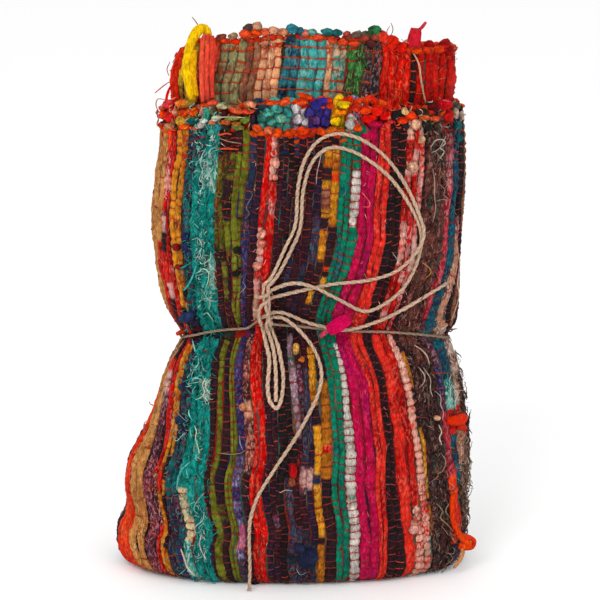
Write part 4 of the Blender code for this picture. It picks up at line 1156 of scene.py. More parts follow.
# --------------------------------------------------------------------- materials
def textile(name, roughness, fibre_scale, bump, fleck_scale=520.0, streak=1.0, fibre=0.25):
    """A matt cloth from the colours held at the points, with flecks, uneven dye, and
    fine fibres in colour and in relief."""
    material = bpy.data.materials.new(name)
    material.use_nodes = True
    tree = material.node_tree
    tree.nodes.clear()
    new, link = tree.nodes.new, tree.links.new
    output = new("ShaderNodeOutputMaterial")
    shader = new("ShaderNodeBsdfPrincipled")
    shader.inputs["Roughness"].default_value = roughness
    shader.inputs["Specular IOR Level"].default_value = 0.05
    shader.inputs["Sheen Weight"].default_value = 0.02
    shader.inputs["Sheen Roughness"].default_value = 0.6
    link(shader.outputs[0], output.inputs["Surface"])
    rag, fleck = new("ShaderNodeAttribute"), new("ShaderNodeAttribute")
    rag.attribute_name, fleck.attribute_name = "rag", "fleck"
    place_ = new("ShaderNodeTexCoord")

    def noise(scale, stretch, detail, rough):
        mapping = new("ShaderNodeMapping")
        mapping.inputs["Scale"].default_value = (1.0, 1.0, stretch)
        link(place_.outputs["Object"], mapping.inputs["Vector"])
        node = new("ShaderNodeTexNoise")
        node.inputs["Scale"].default_value = scale
        node.inputs["Detail"].default_value = detail
        node.inputs["Roughness"].default_value = rough
        link(mapping.outputs[0], node.inputs["Vector"])
        return node.outputs[0]

    def spread(value, low, high, to_low, to_high):
        node = new("ShaderNodeMapRange")
        node.inputs["From Min"].default_value = low
        node.inputs["From Max"].default_value = high
        node.inputs["To Min"].default_value = to_low
        node.inputs["To Max"].default_value = to_high
        link(value, node.inputs["Value"])
        return node.outputs[0]

    def times(one, other):
        node = new("ShaderNodeMath")
        node.operation = "MULTIPLY"
        link(one, node.inputs[0])
        if isinstance(other, float):
            node.inputs[1].default_value = other
        else:
            link(other, node.inputs[1])
        return node

    spots = spread(noise(fleck_scale, streak, 2.0, 0.5), 0.50, 0.58, 0.0, 1.0)
    gain = times(times(spots, fleck.outputs["Alpha"]).outputs[0], 2.2)
    gain.use_clamp = True
    mix = new("ShaderNodeMix")
    mix.data_type = "RGBA"
    link(gain.outputs[0], mix.inputs["Factor"])
    link(rag.outputs["Color"], mix.inputs["A"])
    link(fleck.outputs["Color"], mix.inputs["B"])

    dye = spread(noise(fleck_scale * 0.55, streak, 4.0, 0.65), 0.30, 0.70, 0.66, 1.24)
    hair = noise(fibre_scale, streak * 0.45, 3.0, 0.7)
    hairs = spread(hair, 0.32, 0.68, 1.0 - fibre * 1.5, 1.0 + fibre)
    tint = new("ShaderNodeVectorMath")
    tint.operation = "SCALE"
    link(mix.outputs["Result"], tint.inputs[0])
    link(times(dye, hairs).outputs[0], tint.inputs["Scale"])
    link(tint.outputs[0], shader.inputs["Base Color"])

    relief = new("ShaderNodeBump")
    relief.inputs["Strength"].default_value = bump
    relief.inputs["Distance"].default_value = 0.0010
    link(hair, relief.inputs["Height"])
    link(relief.outputs[0], shader.inputs["Normal"])
    return material


COTTON = textile("cotton_rag", 0.92, 1100.0, 0.85, streak=0.42, fibre=0.30)
LUMPY = textile("cotton_lump", 0.92, 900.0, 1.0, streak=1.0, fibre=0.34)
WARP = textile("cotton_warp", 0.88, 1600.0, 0.45, fleck_scale=900.0, fibre=0.22)
GAP_SHADE_CLOTH = textile("rug_ground_gap_shade", 0.95, 700.0, 0.60)
JUTE = textile("jute_twine", 0.92, 1500.0, 0.55, fleck_scale=1300.0, fibre=0.16)

# ------------------------------------------------------------------------ the twine
JUTE_PALE = linear((229, 196, 170))
# Painted shade: the colour laid into the grooves between the twine's two plies.
JUTE_GROOVE_SHADE = linear((176, 138, 110))
TWIST_PITCH = 0.0150
PLY = 0.00130
PLY_OFF = 0.00034
rng_twine = np.random.default_rng(11)


def twine_points(path, start_angle=0.0, size=1.0):
    """Two plies twisted together, as one closed tube with two lobes."""
    along, u, v = carried_frame(path)
    run = np.concatenate([[0], np.cumsum(np.linalg.norm(np.diff(path, axis=0), axis=1))])
    turn = start_angle + 2 * math.pi * run / TWIST_PITCH
    sides = 12
    phi = 2 * math.pi * np.arange(sides) / sides
    lobes = PLY_OFF * np.abs(np.cos(phi)) + np.sqrt(
        np.maximum(PLY**2 - (PLY_OFF * np.sin(phi)) ** 2, 0)
    )
    jitter = 1 + 0.05 * rng_twine.normal(size=(len(path), sides))
    swell = 1 + 0.05 * wave(rng_twine, 1, len(path), 14)[0][:, None]
    radius = lobes[None, :] * jitter * swell * size
    angle = phi[None, :] + turn[:, None]
    points = (
        path[:, None, :]
        + u[:, None, :] * (radius * np.cos(angle))[..., None]
        + v[:, None, :] * (radius * np.sin(angle))[..., None]
    )
    # Painted shade: the twine is darkened in the groove where its two plies meet.
    valley_shade = 1 - np.abs(np.cos(phi))[None, :, None]
    tone = JUTE_PALE * (1 - 0.60 * valley_shade) + JUTE_GROOVE_SHADE * 0.60 * valley_shade
    tone = tone * (1 + 0.07 * rng_twine.normal(size=points.shape[:2] + (1,)))
    tone = tone * (1 + 0.05 * wave(rng_twine, 1, len(path), 20)[0][:, None, None])
    return points, np.clip(tone, 0, 1)


def lay_twine(pile, hairs, route, shade=1.0, frayed_end=False, hairy=0.30, size=1.0):
    path = spline(route, 0.0011)
    points, tone = twine_points(path, rng_twine.uniform(0, 6), size)
    tone = np.clip(tone * shade, 0, 1)
    fleck = np.concatenate(
        [np.clip(tone * 0.62, 0, 1), np.full(tone.shape[:-1] + (1,), 0.35)], -1
    )
    pile.add(points, ring_faces((1, len(path)), 12), tone, fleck)
    n = int(len(path) * hairy)
    i = rng_twine.integers(2, len(path) - 2, n)
    s = rng_twine.integers(0, 12, n)
    roots = points[i, s]
    ways = (roots - path[i]) + 0.0016 * rng_twine.normal(size=(n, 3))
    ways[:, 1] = -np.abs(ways[:, 1])
    add_fibres(
        hairs, roots, ways, rng_twine.uniform(0.0012, 0.0034, n), 0.00009,
        np.broadcast_to(JUTE_PALE * shade, (n, 3)), rng_twine, droop=0.1, curl=0.6,
    )
    if frayed_end:
        tip, way = path[-1], unit(path[-1] - path[-4])
        n = 18
        roots = tip - way * 0.0006 + 0.0008 * rng_twine.normal(size=(n, 3))
        ways = way + 0.42 * rng_twine.normal(size=(n, 3))
        add_fibres(
            hairs, roots, ways, rng_twine.uniform(0.0025, 0.0060, n), 0.00022,
            np.broadcast_to(JUTE_PALE * 0.95, (n, 3)), rng_twine, droop=0.1, curl=0.4,
        )
    return path


KNOT_STRANDS = (
    ("bow_outer", 0, ((-25.6, -79.0, 284.0), (-24.8, -79.6, 277.0), (-22.8, -78.0, 268.0),
                      (-21.0, -74.5, 260.0), (-19.8, -70.0, 252.5)), "hang_outer", -1),
    ("bow_inner", 0, ((-21.4, -78.0, 283.5), (-20.8, -78.0, 276.0), (-20.8, -75.5, 268.0),
                      (-22.0, -72.0, 258.0), (-23.2, -69.0, 251.0)), "hang_inner", 0),
    ("bow_outer", -1, ((-22.4, -80.6, 276.6), (-27.2, -81.0, 273.0), (-29.6, -78.0, 267.5),
                       (-29.6, -74.0, 260.5), (-28.4, -70.2, 253.5)), "hang_outer", 0),
    ("bow_inner", -1, ((-21.8, -81.6, 283.4), (-25.8, -82.6, 281.6), (-29.2, -79.6, 280.6),
                       (-30.0, -74.0, 280.4)), None, 0),
    ("tie_band", -1, ((-29.4, -66.6, 257.4), (-26.4, -71.4, 260.0), (-22.0, -72.4, 262.0)),
     "end_right", 0),
    ("tie_band", 0, ((-18.6, -66.0, 253.0), (-20.6, -69.4, 256.6)), "end_down", 0),
)

# name, exit: which end of the route, its far end, how it lies, and its shade
CORD_ROWS = (
    ("bow_outer", "object", "loose", False),
    ("bow_inner", "object", "loose", False),
    ("end_right", "bare", "loose", True),
    ("end_down", "bare", "hanging", True),
    ("hang_outer", "object", "hanging", False),
    ("hang_inner", "bare", "hanging", False),
)
twine_pieces = []
for name, far_end, lie, frayed in CORD_ROWS:
    pile, hairs = Pile(), Pile()
    path = lay_twine(
        pile, hairs, ROUTES[name], shade=1.06 if name.startswith("hang") else 1.0,
        frayed_end=frayed, size=1.22 if name.startswith("hang") else 1.08,
    )
    piece = pile.build("twine_" + name, JUTE)
    fuzzy = hairs.build("hairs_" + name, JUTE)
    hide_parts(name)
    twine_pieces += [piece, fuzzy]

pile, hairs = Pile(), Pile()
# Painted shade: the band is darkened to about half, as it lies in the shadow of the pinched waist.
lay_twine(pile, hairs, ROUTES["tie_band"], shade=0.52, hairy=0.1, size=0.80)
band = pile.build("twine_band", JUTE)
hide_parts("tie_band")

pile, knot_hairs = Pile(), Pile()
for name, end, middle, to, to_end in KNOT_STRANDS:
    points = [ROUTES[name][end]] + [tuple(c / 1000 for c in p) for p in middle]
    if to:
        points.append(ROUTES[to][to_end])
    lay_twine(pile, knot_hairs, points)
knot = pile.build("twine_knot", JUTE)
knot_fuzz = knot_hairs.build("hairs_knot", JUTE)
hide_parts("tie_knot")
twine_pieces += [band, knot, knot_fuzz]

# ----------------------------------------------------------------- the rug's cloth
def build_ground():
    """The cloth itself: both layers and the fold between them, as one thin sheet, coloured near-black as
    painted shade for the gaps.
    """
    stations = [0.0]
    while stations[-1] < 3.0:
        t = stations[-1]
        here = np.linalg.norm(wall(t + 0.002, 0.35, 0.0) - wall(t - 0.002, 0.35, 0.0)) / 0.004
        stations.append(min(3.0, t + 0.0095 / max(here, 0.2)))
    turns = np.array(stations)
    rows = 40
    half = 0.0008
    top_a = edge(turns, 0) - 0.0030
    top_b = edge(turns, 1) - 0.0030
    share = np.linspace(0, 1, rows) ** 1.0

    def section(sign):
        """Inset and height of one face of the cloth from the outer layer's top, round
        the fold, to the inner layer's top."""
        a_h = top_a[:, None] + (0.004 - top_a)[:, None] * share
        a_i = np.full_like(a_h, 0.0024 - sign * half)
        fold_i = np.array([0.0030, 0.0052, 0.0082, 0.0096, 0.0086])
        fold_h = np.array([0.0024, 0.0016, 0.0020, 0.0046, 0.0080])
        centre_i, centre_h = 0.0058, 0.0062
        away_i, away_h = fold_i - centre_i, fold_h - centre_h
        size = np.hypot(away_i, away_h)
        fold_i = fold_i + sign * half * away_i / size
        fold_h = fold_h + sign * half * away_h / size
        n = len(turns)
        b_h = 0.012 + (top_b - 0.012)[:, None] * share
        b_i = np.full_like(b_h, 0.0074 + sign * half)
        return (
            np.concatenate([a_i, np.tile(fold_i, (n, 1)), b_i], 1),
            np.concatenate([a_h, np.tile(fold_h, (n, 1)), b_h], 1),
        )

    out_i, out_h = section(1.0)
    in_i, in_h = section(-1.0)
    inset = np.concatenate([out_i, in_i[:, ::-1]], 1)
    height = np.concatenate([out_h, in_h[:, ::-1]], 1)
    points = wall(turns[:, None], height, inset)
    low = height < 0.012
    points[..., 2] = np.where(low, np.maximum(height, 0.0006), points[..., 2])
    ring = points.shape[1]
    faces = ring_faces((1, len(turns)), ring, caps=False)
    first = np.arange(ring // 2 - 1)
    other = ring - 1 - first
    caps = np.stack([first, first + 1, other - 1, other], -1)
    caps_end = (caps + (len(turns) - 1) * ring)[:, ::-1]
    faces += [caps, caps_end]
    rng = np.random.default_rng(5)
    names = [OTHERS[int(k)] for k in rng.integers(len(OTHERS), size=len(turns))]
    # Painted shade: the sheet is mostly a near-black brown with only a little of the rags' colours, so that
    # it reads as shadow in the gaps between the picks and between the layers.
    tone = linear([LOOKS[n][0] for n in names]) * 0.30 + linear((34, 20, 22)) * 0.70
    rag = np.broadcast_to(tone[:, None, :], points.shape)
    p = points.reshape(-1, 3)
    f = np.concatenate([x for x in faces])
    a, b, c = p[f[:, 0]], p[f[:, 1]], p[f[:, 2]]
    d = p[f[:, 3]]
    volume = (
        np.einsum("ij,ij->i", a, np.cross(b, c)) + np.einsum("ij,ij->i", a, np.cross(c, d))
    ).sum()
    if volume < 0:
        faces = [x[:, ::-1] for x in faces]
    pile = Pile()
    pile.add(points, faces, rag)
    return pile.build("rug_cloth", GAP_SHADE_CLOTH)


ground = build_ground()
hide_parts("rug_roll")
rug_pieces = []


def keep(piece):
    rug_pieces.append(piece)
    return piece


rng = np.random.default_rng(3)
OUTER = lay(outer_picks(), 0.0024, 0, 0.0, True, rng)
picks_n = len(OUTER["kind"])
split_a, split_b = 32, 66
for tag, span in (
    ("left", (0, split_a)), ("front", (split_a, split_b)), ("back", (split_b, picks_n)),
):
    pile = Pile()
    add_rags(pile, OUTER, np.random.default_rng(21 + span[0]), pick_range=span)
    keep(pile.build("rags_outer_" + tag, COTTON))

layers = {}
for tag, base, stop, inset, layer, low, front in (
    ("inner_1", 0.02, 1.0, 0.0074, 1, 0.395, INNER_FRONT),
    ("core_1", 1.0, 2.0, 0.0024, 0, 0.395, CORE_FRONT),
    ("core_2", 1.0, 2.0, 0.0074, 1, 0.440, ()),
    ("core_3", 2.0, 3.0, 0.0024, 0, 0.430, ()),
    ("core_4", 2.0, 3.0, 0.0074, 1, 0.430, ()),
):
    rng = np.random.default_rng(100 + len(layers))
    picks = plain_picks(base, stop, inset, 0.45, front, rng)
    beat = 4 if tag == "core_1" else 3
    thick = (0.0028, 0.0022) if tag == "core_1" else (0.0024, 0.0022)
    layers[tag] = lay(picks, inset, layer, low, False, rng, beat=beat, thick=thick)
    pile = Pile()
    add_rags(pile, layers[tag], rng)
    keep(pile.build("rags_" + tag, COTTON))

pile = Pile()
dashes = add_warps(pile, OUTER, np.random.default_rng(31))
for k, tag in enumerate(layers):
    dashes += add_warps(
        pile, layers[tag], np.random.default_rng(32 + k), bright=1.0,
        thick=0.0008 if tag == "core_1" else 0.00062,
    )
keep(pile.build("warps", WARP))

ORANGE = ((238, 76, 30), (232, 66, 26), (242, 92, 40), (226, 54, 24))
pile = Pile()
for k, laid in enumerate([OUTER] + list(layers.values())):
    rng = np.random.default_rng(51 + k)
    odds = np.full(len(laid["kind"]), 0.85)
    if k == 0:
        turn, _ = place([150, 252, 345, 470], 131.0)
        at = laid["t"][:, 1]
        odds = np.where((at > turn[0]) & (at < turn[3]), 0.30, 0.8)
        odds = np.where((at > turn[1]) & (at < turn[2]), 0.85, odds)
    add_beads(
        pile, laid, rng,
        ((0.0010, None, 0.0030, odds), (0.0072, 0, 0.0021, 0.5 * odds)),
        ORANGE,
    )
keep(pile.build("selvedge_beads", LUMPY))


def add_turns(pile, laid, rng, odds, high):
    """Each rag turning over the selvedge from one pick to the next."""
    rows = list(LOOKS.values())
    for j in range(0, len(laid["kind"]) - 1, 2):
        if rng.random() > odds:
            continue
        a, b = laid["path"][j, 1], laid["path"][j + 1, 1]
        out = laid["out"][j, 1]
        up = -unit(laid["along"][j, 1])
        lift = rng.uniform(*high) + 0.0012
        side = b - a
        wander = out * 0.0009 * rng.normal()
        points = [
            a - up * 0.0025, a + up * 0.0010, a + side * 0.20 + up * lift,
            a + side * 0.5 + up * lift * 1.3 + wander,
            a + side * 0.80 + up * lift, b + up * 0.0010, b - up * 0.0025,
        ]
        path = spline(points, 0.0016)
        look = rows[laid["kind"][j if rng.random() < 0.5 else j + 1, 1]]
        tone = linear(look[0] if rng.random() < 0.7 else look[1])
        radius = 0.42 * min(laid["w"][j, 1], laid["w"][j + 1, 1]) * rng.uniform(0.75, 1.1)
        radius = radius * (1 + 0.14 * wave(rng, 1, len(path), 2.5)[0])
        add_tube(pile, path, radius, tone, rng, sides=7, fleck=(*linear(look[4]), look[5]))


pile = Pile()
for k, laid in enumerate([OUTER] + list(layers.values())):
    add_turns(
        pile, laid, np.random.default_rng(71 + k), 0.60 if k == 0 else 0.80,
        (-0.0006, 0.0012) if k == 0 else (0.0, 0.0022),
    )
keep(pile.build("rag_turns", LUMPY))


def add_tufts(pile, laid, rng, odds, length, wide, only=0.5):
    """Torn strips standing off the shaggy rags."""
    shag = laid["shag"]
    j, i = np.nonzero(rng.random(shag.shape) < np.where(shag > only, shag, 0.0) * odds)
    n = len(j)
    rings = 5
    s = np.linspace(0, 1, rings)[None, :, None]
    side, out, along = laid["side"][j, i], laid["out"][j, i], laid["along"][j, i]
    across = rng.uniform(-0.85, 0.85, (n, 1))
    root = (
        laid["path"][j, i]
        + side * across * laid["half_width"][j, i][:, None]
        + out * laid["d_out"][j, i][:, None] * 0.75
    )
    way = unit(along * rng.choice([-1.0, 1.0], (n, 1)) + side * 0.55 * rng.normal(size=(n, 1)))
    L = (rng.uniform(*length, n) * (0.6 + 0.6 * shag[j, i]))[:, None, None]
    lift = rng.uniform(0.05, 0.30, (n, 1))[:, None]
    curl = (0.35 * rng.normal(size=(n, 1)))[:, None]
    path = (
        root[:, None]
        + way[:, None] * s * L
        + out[:, None] * (np.sin(s * math.pi * 0.8) * 0.22 + s * lift) * L
        + side[:, None] * s**2 * L * curl
    )
    along_ = unit(np.gradient(path, axis=1))
    u = unit(np.cross(along_, out[:, None] + 0.5 * rng.normal(size=(n, 1, 3))))
    v = np.cross(along_, u)
    half = (rng.uniform(*wide, n) / 2)[:, None] * np.array([0.8, 1.0, 0.95, 0.8, 0.35])[None, :]
    phi = 2 * math.pi * (np.arange(4) + 0.5) / 4
    points = (
        path[:, :, None]
        + u[:, :, None] * (half[..., None] * 1.3 * np.cos(phi))[..., None]
        + v[:, :, None] * (0.00034 * np.sin(phi))[None, None, :, None]
    )
    points[..., 2] = np.maximum(points[..., 2], 0.0004)
    base, second, fleck = (linear(laid["trait"](c))[j, i] for c in ("rag", "second", "fleck"))
    roll = rng.random((n, 1))
    pale = laid["trait"]("flecked")[j, i][:, None] * 0.9
    tone = np.where(roll < pale, fleck, np.where(roll < 0.72, base, second))
    tone = np.clip(tone * rng.uniform(0.55, 1.45, (n, 1)), 0, 1)
    rag = np.broadcast_to(tone[:, None, None, :], points.shape) * (
        1 + 0.08 * rng.normal(size=points.shape[:3] + (1,))
    )
    pile.add(points, ring_faces((n, rings), 4), np.clip(rag, 0, 1))
    return n


pile = Pile()
fuzz = add_shag(pile, OUTER, np.random.default_rng(81), 0.80, (0.0020, 0.0056), 0.00022)
fuzz += add_shag(
    pile, OUTER, np.random.default_rng(83), 0.22, (0.0012, 0.0030), 0.00017, only=0.01, lift=0.9
)
for k, tag in enumerate(("inner_1", "core_1")):
    fuzz += add_shag(
        pile, layers[tag], np.random.default_rng(85 + k), 0.4, (0.002, 0.005), 0.00022, only=0.2
    )
keep(pile.build("fuzz", COTTON))

pile = Pile()
tufts = add_tufts(pile, OUTER, np.random.default_rng(91), 0.62, (0.004, 0.011), (0.0005, 0.0014))
for k, tag in enumerate(("inner_1", "core_1")):
    tufts += add_tufts(
        pile, layers[tag], np.random.default_rng(95 + k), 0.2, (0.005, 0.010), (0.001, 0.002)
    )
keep(pile.build("tufts", COTTON))

# ------------------------------------------------------ lumps, loops and loose threads
# Lumps of rag standing off the cloth: frame x and y, half width and half height in
# frame units, how proud in mm, the turn they lie on and their colour.
LUMPS = (
    # the top left of the outer turn
    (163, 108, 4, 4, 2, 0, (236, 96, 70)), (170, 104, 5, 4, 3, 0, (226, 60, 70)),
    (164, 115, 4, 5, 3, 0, (240, 74, 34)), (171, 116, 5, 6, 3.5, 0, (224, 40, 40)),
    (176, 112, 3, 4, 2, 0, (226, 150, 120)), (165, 123, 5, 3.5, 1, 0, (70, 24, 18)),
    (171, 126, 5, 3, 2.5, 0, (214, 150, 110)), (182, 104, 6, 4, 2, 0, (230, 124, 50)),
    (189, 104, 6, 4, 1.5, 0, (170, 130, 50)), (184, 113, 5, 3.5, 2.5, 0, (226, 74, 34)),
    (193, 112, 6, 4, 2.5, 0, (236, 80, 36)), (182, 121, 5, 5, 3, 0, (222, 160, 60)),
    (186, 127, 6, 3, 2, 0, (240, 84, 30)), (194, 121, 6, 3.6, 3, 0, (14, 92, 88)),
    (195, 128, 5, 2.4, 2, 0, (234, 90, 66)), (203, 112, 3, 5, 2, 0, (206, 130, 110)),
    (208, 114, 3.6, 7, 3.5, 0, (60, 150, 128)), (203, 123, 5, 4.5, 3.5, 0, (186, 172, 164)),
    (206, 120, 3, 2.4, 4.5, 0, (216, 232, 220)), (212, 110, 4, 4, 2, 0, (128, 120, 84)),
    (213, 103, 6, 3, 2, 0, (232, 84, 60)), (213, 122, 4, 2.4, 3.5, 0, (232, 110, 80)),
    (217, 118, 6, 2.6, 4.5, 0, (206, 220, 186)), (217, 127, 5, 4, 3, 0, (50, 140, 140)),
    (212, 132, 4, 3.4, 2.5, 0, (86, 168, 146)), (222, 106, 6, 3.4, 2.5, 0, (176, 170, 130)),
    (226, 122, 6, 2.6, 3, 0, (214, 100, 54)), (226, 128, 5, 4, 2, 0, (50, 42, 36)),
    (234, 118, 9, 2.6, 4, 0, (134, 140, 70)), (237, 123, 5, 2.4, 3, 0, (196, 110, 50)),
    (246, 120, 5, 3.8, 3.5, 0, (110, 134, 46)), (238, 127, 6, 3, 3, 0, (120, 124, 56)),
    (252, 119, 4, 5, 2, 0, (52, 32, 44)), (236, 110, 8, 3, 3, 0, (240, 100, 66)),
    (248, 111, 7, 3, 3.5, 0, (232, 76, 50)), (251, 104, 6, 3, 2.5, 0, (240, 150, 110)),
    (224, 113, 5, 3, 1.5, 0, (84, 26, 28)),
    # the outer selvedge, front
    (257, 128, 5, 3.4, 2.5, 0, (236, 90, 50)), (269, 130, 5, 4, 4, 0, (240, 120, 84)),
    (277, 133, 5, 4.5, 3.5, 0, (240, 84, 40)), (291, 132, 6, 3.6, 3.5, 0, (238, 76, 34)),
    (303, 131, 7, 4.2, 3.5, 0, (236, 70, 30)), (313, 132, 4.5, 3.6, 3, 0, (196, 52, 32)),
    (321, 132, 5, 4, 1.4, 0, (240, 80, 36)), (331, 131, 6, 4, 0.8, 0, (214, 104, 40)),
    (340, 131, 5, 3.2, 0.4, 0, (216, 96, 40)), (350, 124, 5, 5.4, 2.4, 0, (196, 194, 184)),
    (350, 131, 5, 3.0, 0.4, 0, (122, 128, 110)), (358, 128, 4.5, 4, 1.6, 0, (240, 78, 38)),
    # the outer selvedge, right
    (366, 110, 6, 4, 3.5, 0, (244, 70, 34)), (376, 110, 7, 5, 4, 0, (238, 44, 28)),
    (370, 118, 8, 4, 3, 0, (232, 38, 26)), (374, 124, 7, 4, 2.5, 0, (196, 24, 70)),
    (385, 116, 6, 4, 2.6, 0, (226, 30, 26)), (388, 117, 2, 2, 4.5, 0, (246, 130, 110)),
    (397, 114, 6, 6, 2.5, 0, (36, 30, 32)), (404, 111, 4, 3.4, 4.5, 0, (244, 200, 140)),
    (409, 116, 7, 4.4, 4, 0, (238, 66, 26)), (402, 120, 6, 3.4, 3, 0, (232, 60, 26)),
    (398, 130, 5, 3.4, 1.5, 0, (32, 26, 28)), (404, 126, 5, 4, 2, 0, (34, 30, 32)),
    (415, 124, 5.4, 5.2, 4.5, 0, (232, 176, 142)), (422, 112, 7, 3.4, 1.6, 0, (48, 40, 32)),
    (424, 117, 6, 3, 3.4, 0, (236, 106, 60)), (434, 118, 6, 3, 3, 0, (226, 90, 56)),
    (427, 125, 5, 5, 2.4, 0, (34, 40, 32)), (436, 126, 3, 4.6, 2.2, 0, (60, 46, 38)),
    (433, 107, 6, 4, 3, 0, (92, 12, 16)), (443, 105, 7, 6, 3, 0, (206, 28, 36)),
    (448, 116, 4.6, 6, 3.6, 0, (206, 36, 34)), (455, 113, 3.4, 5, 2, 0, (190, 160, 140)),
    (457, 106, 3, 4, 1.5, 0, (98, 92, 72)), (457, 126, 3.2, 5, 3, 0, (24, 92, 98)),
    (458, 138, 3.2, 5, 2.6, 0, (26, 88, 96)), (461, 116, 2.6, 5, 1.4, 0, (196, 170, 160)),
    # the front, above the waist
    (276, 162, 4, 5.4, 3.6, 0, (240, 168, 148)), (275, 177, 3.2, 3, 3, 0, (238, 150, 130)),
    (412, 167, 5.4, 5.4, 3.8, 0, (236, 180, 150)), (421, 139, 3.2, 4, 3, 0, (226, 170, 134)),
    (262, 234, 4.6, 4, 3, 0, (238, 158, 138)), (262, 243, 4.4, 3.6, 3, 0, (232, 132, 118)),
    (257, 266, 4, 4.4, 3, 0, (232, 150, 130)), (237, 250, 4.4, 3.4, 2.4, 0, (34, 34, 28)),
    (236, 273, 4, 3, 2.2, 0, (36, 34, 28)), (285, 152, 5, 3, 2, 0, (26, 34, 62)),
    (186, 246, 4, 4.6, 2.4, 0, (40, 44, 90)), (186, 236, 3.6, 3, 2.2, 0, (44, 44, 96)),
    (177, 247, 4, 4, 2.4, 0, (130, 26, 26)), (180, 267, 4.4, 3, 2.2, 0, (140, 34, 34)),
    # the waist
    (188, 315, 7.5, 6.5, 6.5, 0, (42, 56, 92)), (195, 320, 5, 5, 4.5, 0, (40, 34, 56)),
    (183, 331, 6, 5.5, 6.0, 0, (232, 70, 34)), (178, 333, 4, 5, 4.0, 0, (214, 40, 24)),
    (198, 326, 6, 4, 3.5, 0, (60, 20, 26)), (230, 333, 4.6, 4.6, 3.2, 0, (40, 46, 36)),
    (296, 349, 4, 5.5, 4.2, 0, (240, 176, 96)), (302, 360, 3.6, 3, 2.6, 0, (198, 104, 50)),
    # below the waist
    (181, 420, 6, 5, 3.0, 0, (34, 52, 74)), (184, 387, 5, 4, 2.6, 0, (46, 50, 74)),
    (243, 407, 3.4, 5, 3.2, 0, (206, 134, 96)), (293, 470, 4.6, 8, 2.8, 0, (170, 26, 28)),
    (292, 482, 3.4, 5, 3.0, 0, (160, 84, 60)), (308, 558, 9, 12, 4.0, 0, (34, 38, 66)),
    (300, 548, 6, 6, 3.0, 0, (38, 40, 66)), (291, 559, 6, 5, 2.6, 0, (34, 42, 54)),
    (436, 418, 3, 2.6, 3.6, 0, (236, 180, 146)), (254, 585, 5, 4, 2.0, 0, (28, 28, 30)),
    (413, 529, 4.6, 5.4, 3.4, 0, (238, 174, 160)), (414, 523, 4, 3, 3.2, 0, (230, 150, 130)),
    # the inner layer's top
    (262, 118, 6, 4, 2.5, 0.5, (60, 130, 118)), (268, 112, 6, 4.5, 3.5, 0.5, (86, 170, 150)),
    (277, 108, 6, 5, 3.5, 0.5, (76, 160, 146)), (281, 119, 6, 5, 4, 0.5, (110, 176, 150)),
    (288, 112, 5, 5, 3, 0.5, (60, 140, 134)), (272, 122, 6, 4, 3, 0.5, (70, 146, 132)),
    (296, 108, 5, 4.6, 3.5, 0.5, (206, 196, 196)), (298, 119, 5, 5, 3.5, 0.5, (214, 202, 202)),
    (305, 122, 4, 4, 3, 0.5, (190, 184, 190)), (309, 112, 5, 5, 3, 0.5, (70, 56, 134)),
    (316, 104, 6, 5, 4, 0.5, (56, 48, 140)), (322, 102, 5, 4, 3.5, 0.5, (64, 50, 150)),
    (325, 122, 4.6, 4.6, 3.2, 0.5, (60, 46, 128)), (316, 121, 5, 4, 2.4, 0.5, (100, 60, 120)),
    (337, 113, 5, 4.4, 3.5, 0.5, (246, 150, 22)), (336, 122, 6, 4.6, 4.0, 0.5, (252, 200, 20)),
    (343, 104, 7, 3.6, 4.5, 0.5, (252, 208, 20)), (344, 111, 4.5, 3.4, 3, 0.5, (236, 120, 30)),
    (253, 112, 6, 4.6, 3, 0.5, (36, 32, 48)), (262, 107, 6, 3, 3, 0.5, (40, 60, 70)),
    (273, 103, 7, 3, 3.5, 0.5, (238, 84, 46)), (285, 102, 6, 3, 3.5, 0.5, (240, 92, 54)),
    (302, 103, 6, 3, 3, 0.5, (238, 80, 44)), (305, 96, 7, 3, 2.6, 0.5, (232, 70, 36)),
    (330, 106, 4, 3, 3, 0.5, (226, 66, 34)), (357, 108, 6, 4, 3.6, 0.5, (234, 60, 40)),
    (352, 117, 5, 3.4, 3.2, 0.5, (200, 200, 196)),
    # the core's top
    (221, 37, 5, 3, 2.4, 1, (150, 70, 50)), (233, 36, 5, 3, 2.6, 1, (170, 130, 96)),
    (226, 41, 5, 2.6, 2.4, 1, (224, 70, 40)), (246, 34, 6.5, 4.6, 3.6, 1, (238, 84, 50)),
    (256, 33, 6.5, 4.6, 3.6, 1, (236, 78, 40)), (249, 28.5, 6, 4.6, 1.6, 1, (80, 62, 60)),
    (257, 26.5, 6, 4.4, 2.4, 1, (206, 150, 116)), (265, 31.5, 5.5, 4, 3.0, 1, (222, 96, 64)),
    (274, 30.5, 6, 3.8, 2.6, 1, (214, 150, 120)), (283, 32, 6, 3.6, 3.4, 1, (220, 140, 104)),
    (292.5, 29, 7, 4.4, 3.0, 1, (56, 134, 146)), (300, 31, 4.6, 3.4, 2.8, 1, (44, 96, 112)),
    (291, 38, 5, 3.4, 4, 1, (40, 60, 76)), (305, 33, 4, 3.4, 2.6, 1, (230, 130, 110)),
    (312, 32, 5, 3.4, 2.6, 1, (110, 170, 156)), (318, 38, 6, 3.4, 3.6, 1, (236, 86, 54)),
    (328, 32, 7, 4, 3.6, 1, (44, 120, 116)), (337, 33, 5, 3.4, 3.0, 1, (30, 96, 96)),
    (332, 39, 5, 3.6, 4, 1, (226, 80, 50)), (343, 42, 6, 4, 3.6, 1, (236, 80, 50)),
    (347, 34, 4, 3, 2.0, 1, (180, 70, 60)), (354, 44, 6, 3.4, 3.6, 1, (226, 74, 46)),
    (357, 35, 6, 4, 1.6, 1, (120, 92, 80)), (364, 38, 6, 4, 3.0, 1, (150, 62, 50)),
    (366, 35, 6, 4.4, 1.6, 1, (84, 92, 66)), (376, 36, 6, 4, 2.6, 1, (150, 66, 50)), (375, 30.5, 8, 4.8, 2.4, 1, (44, 104, 60)),
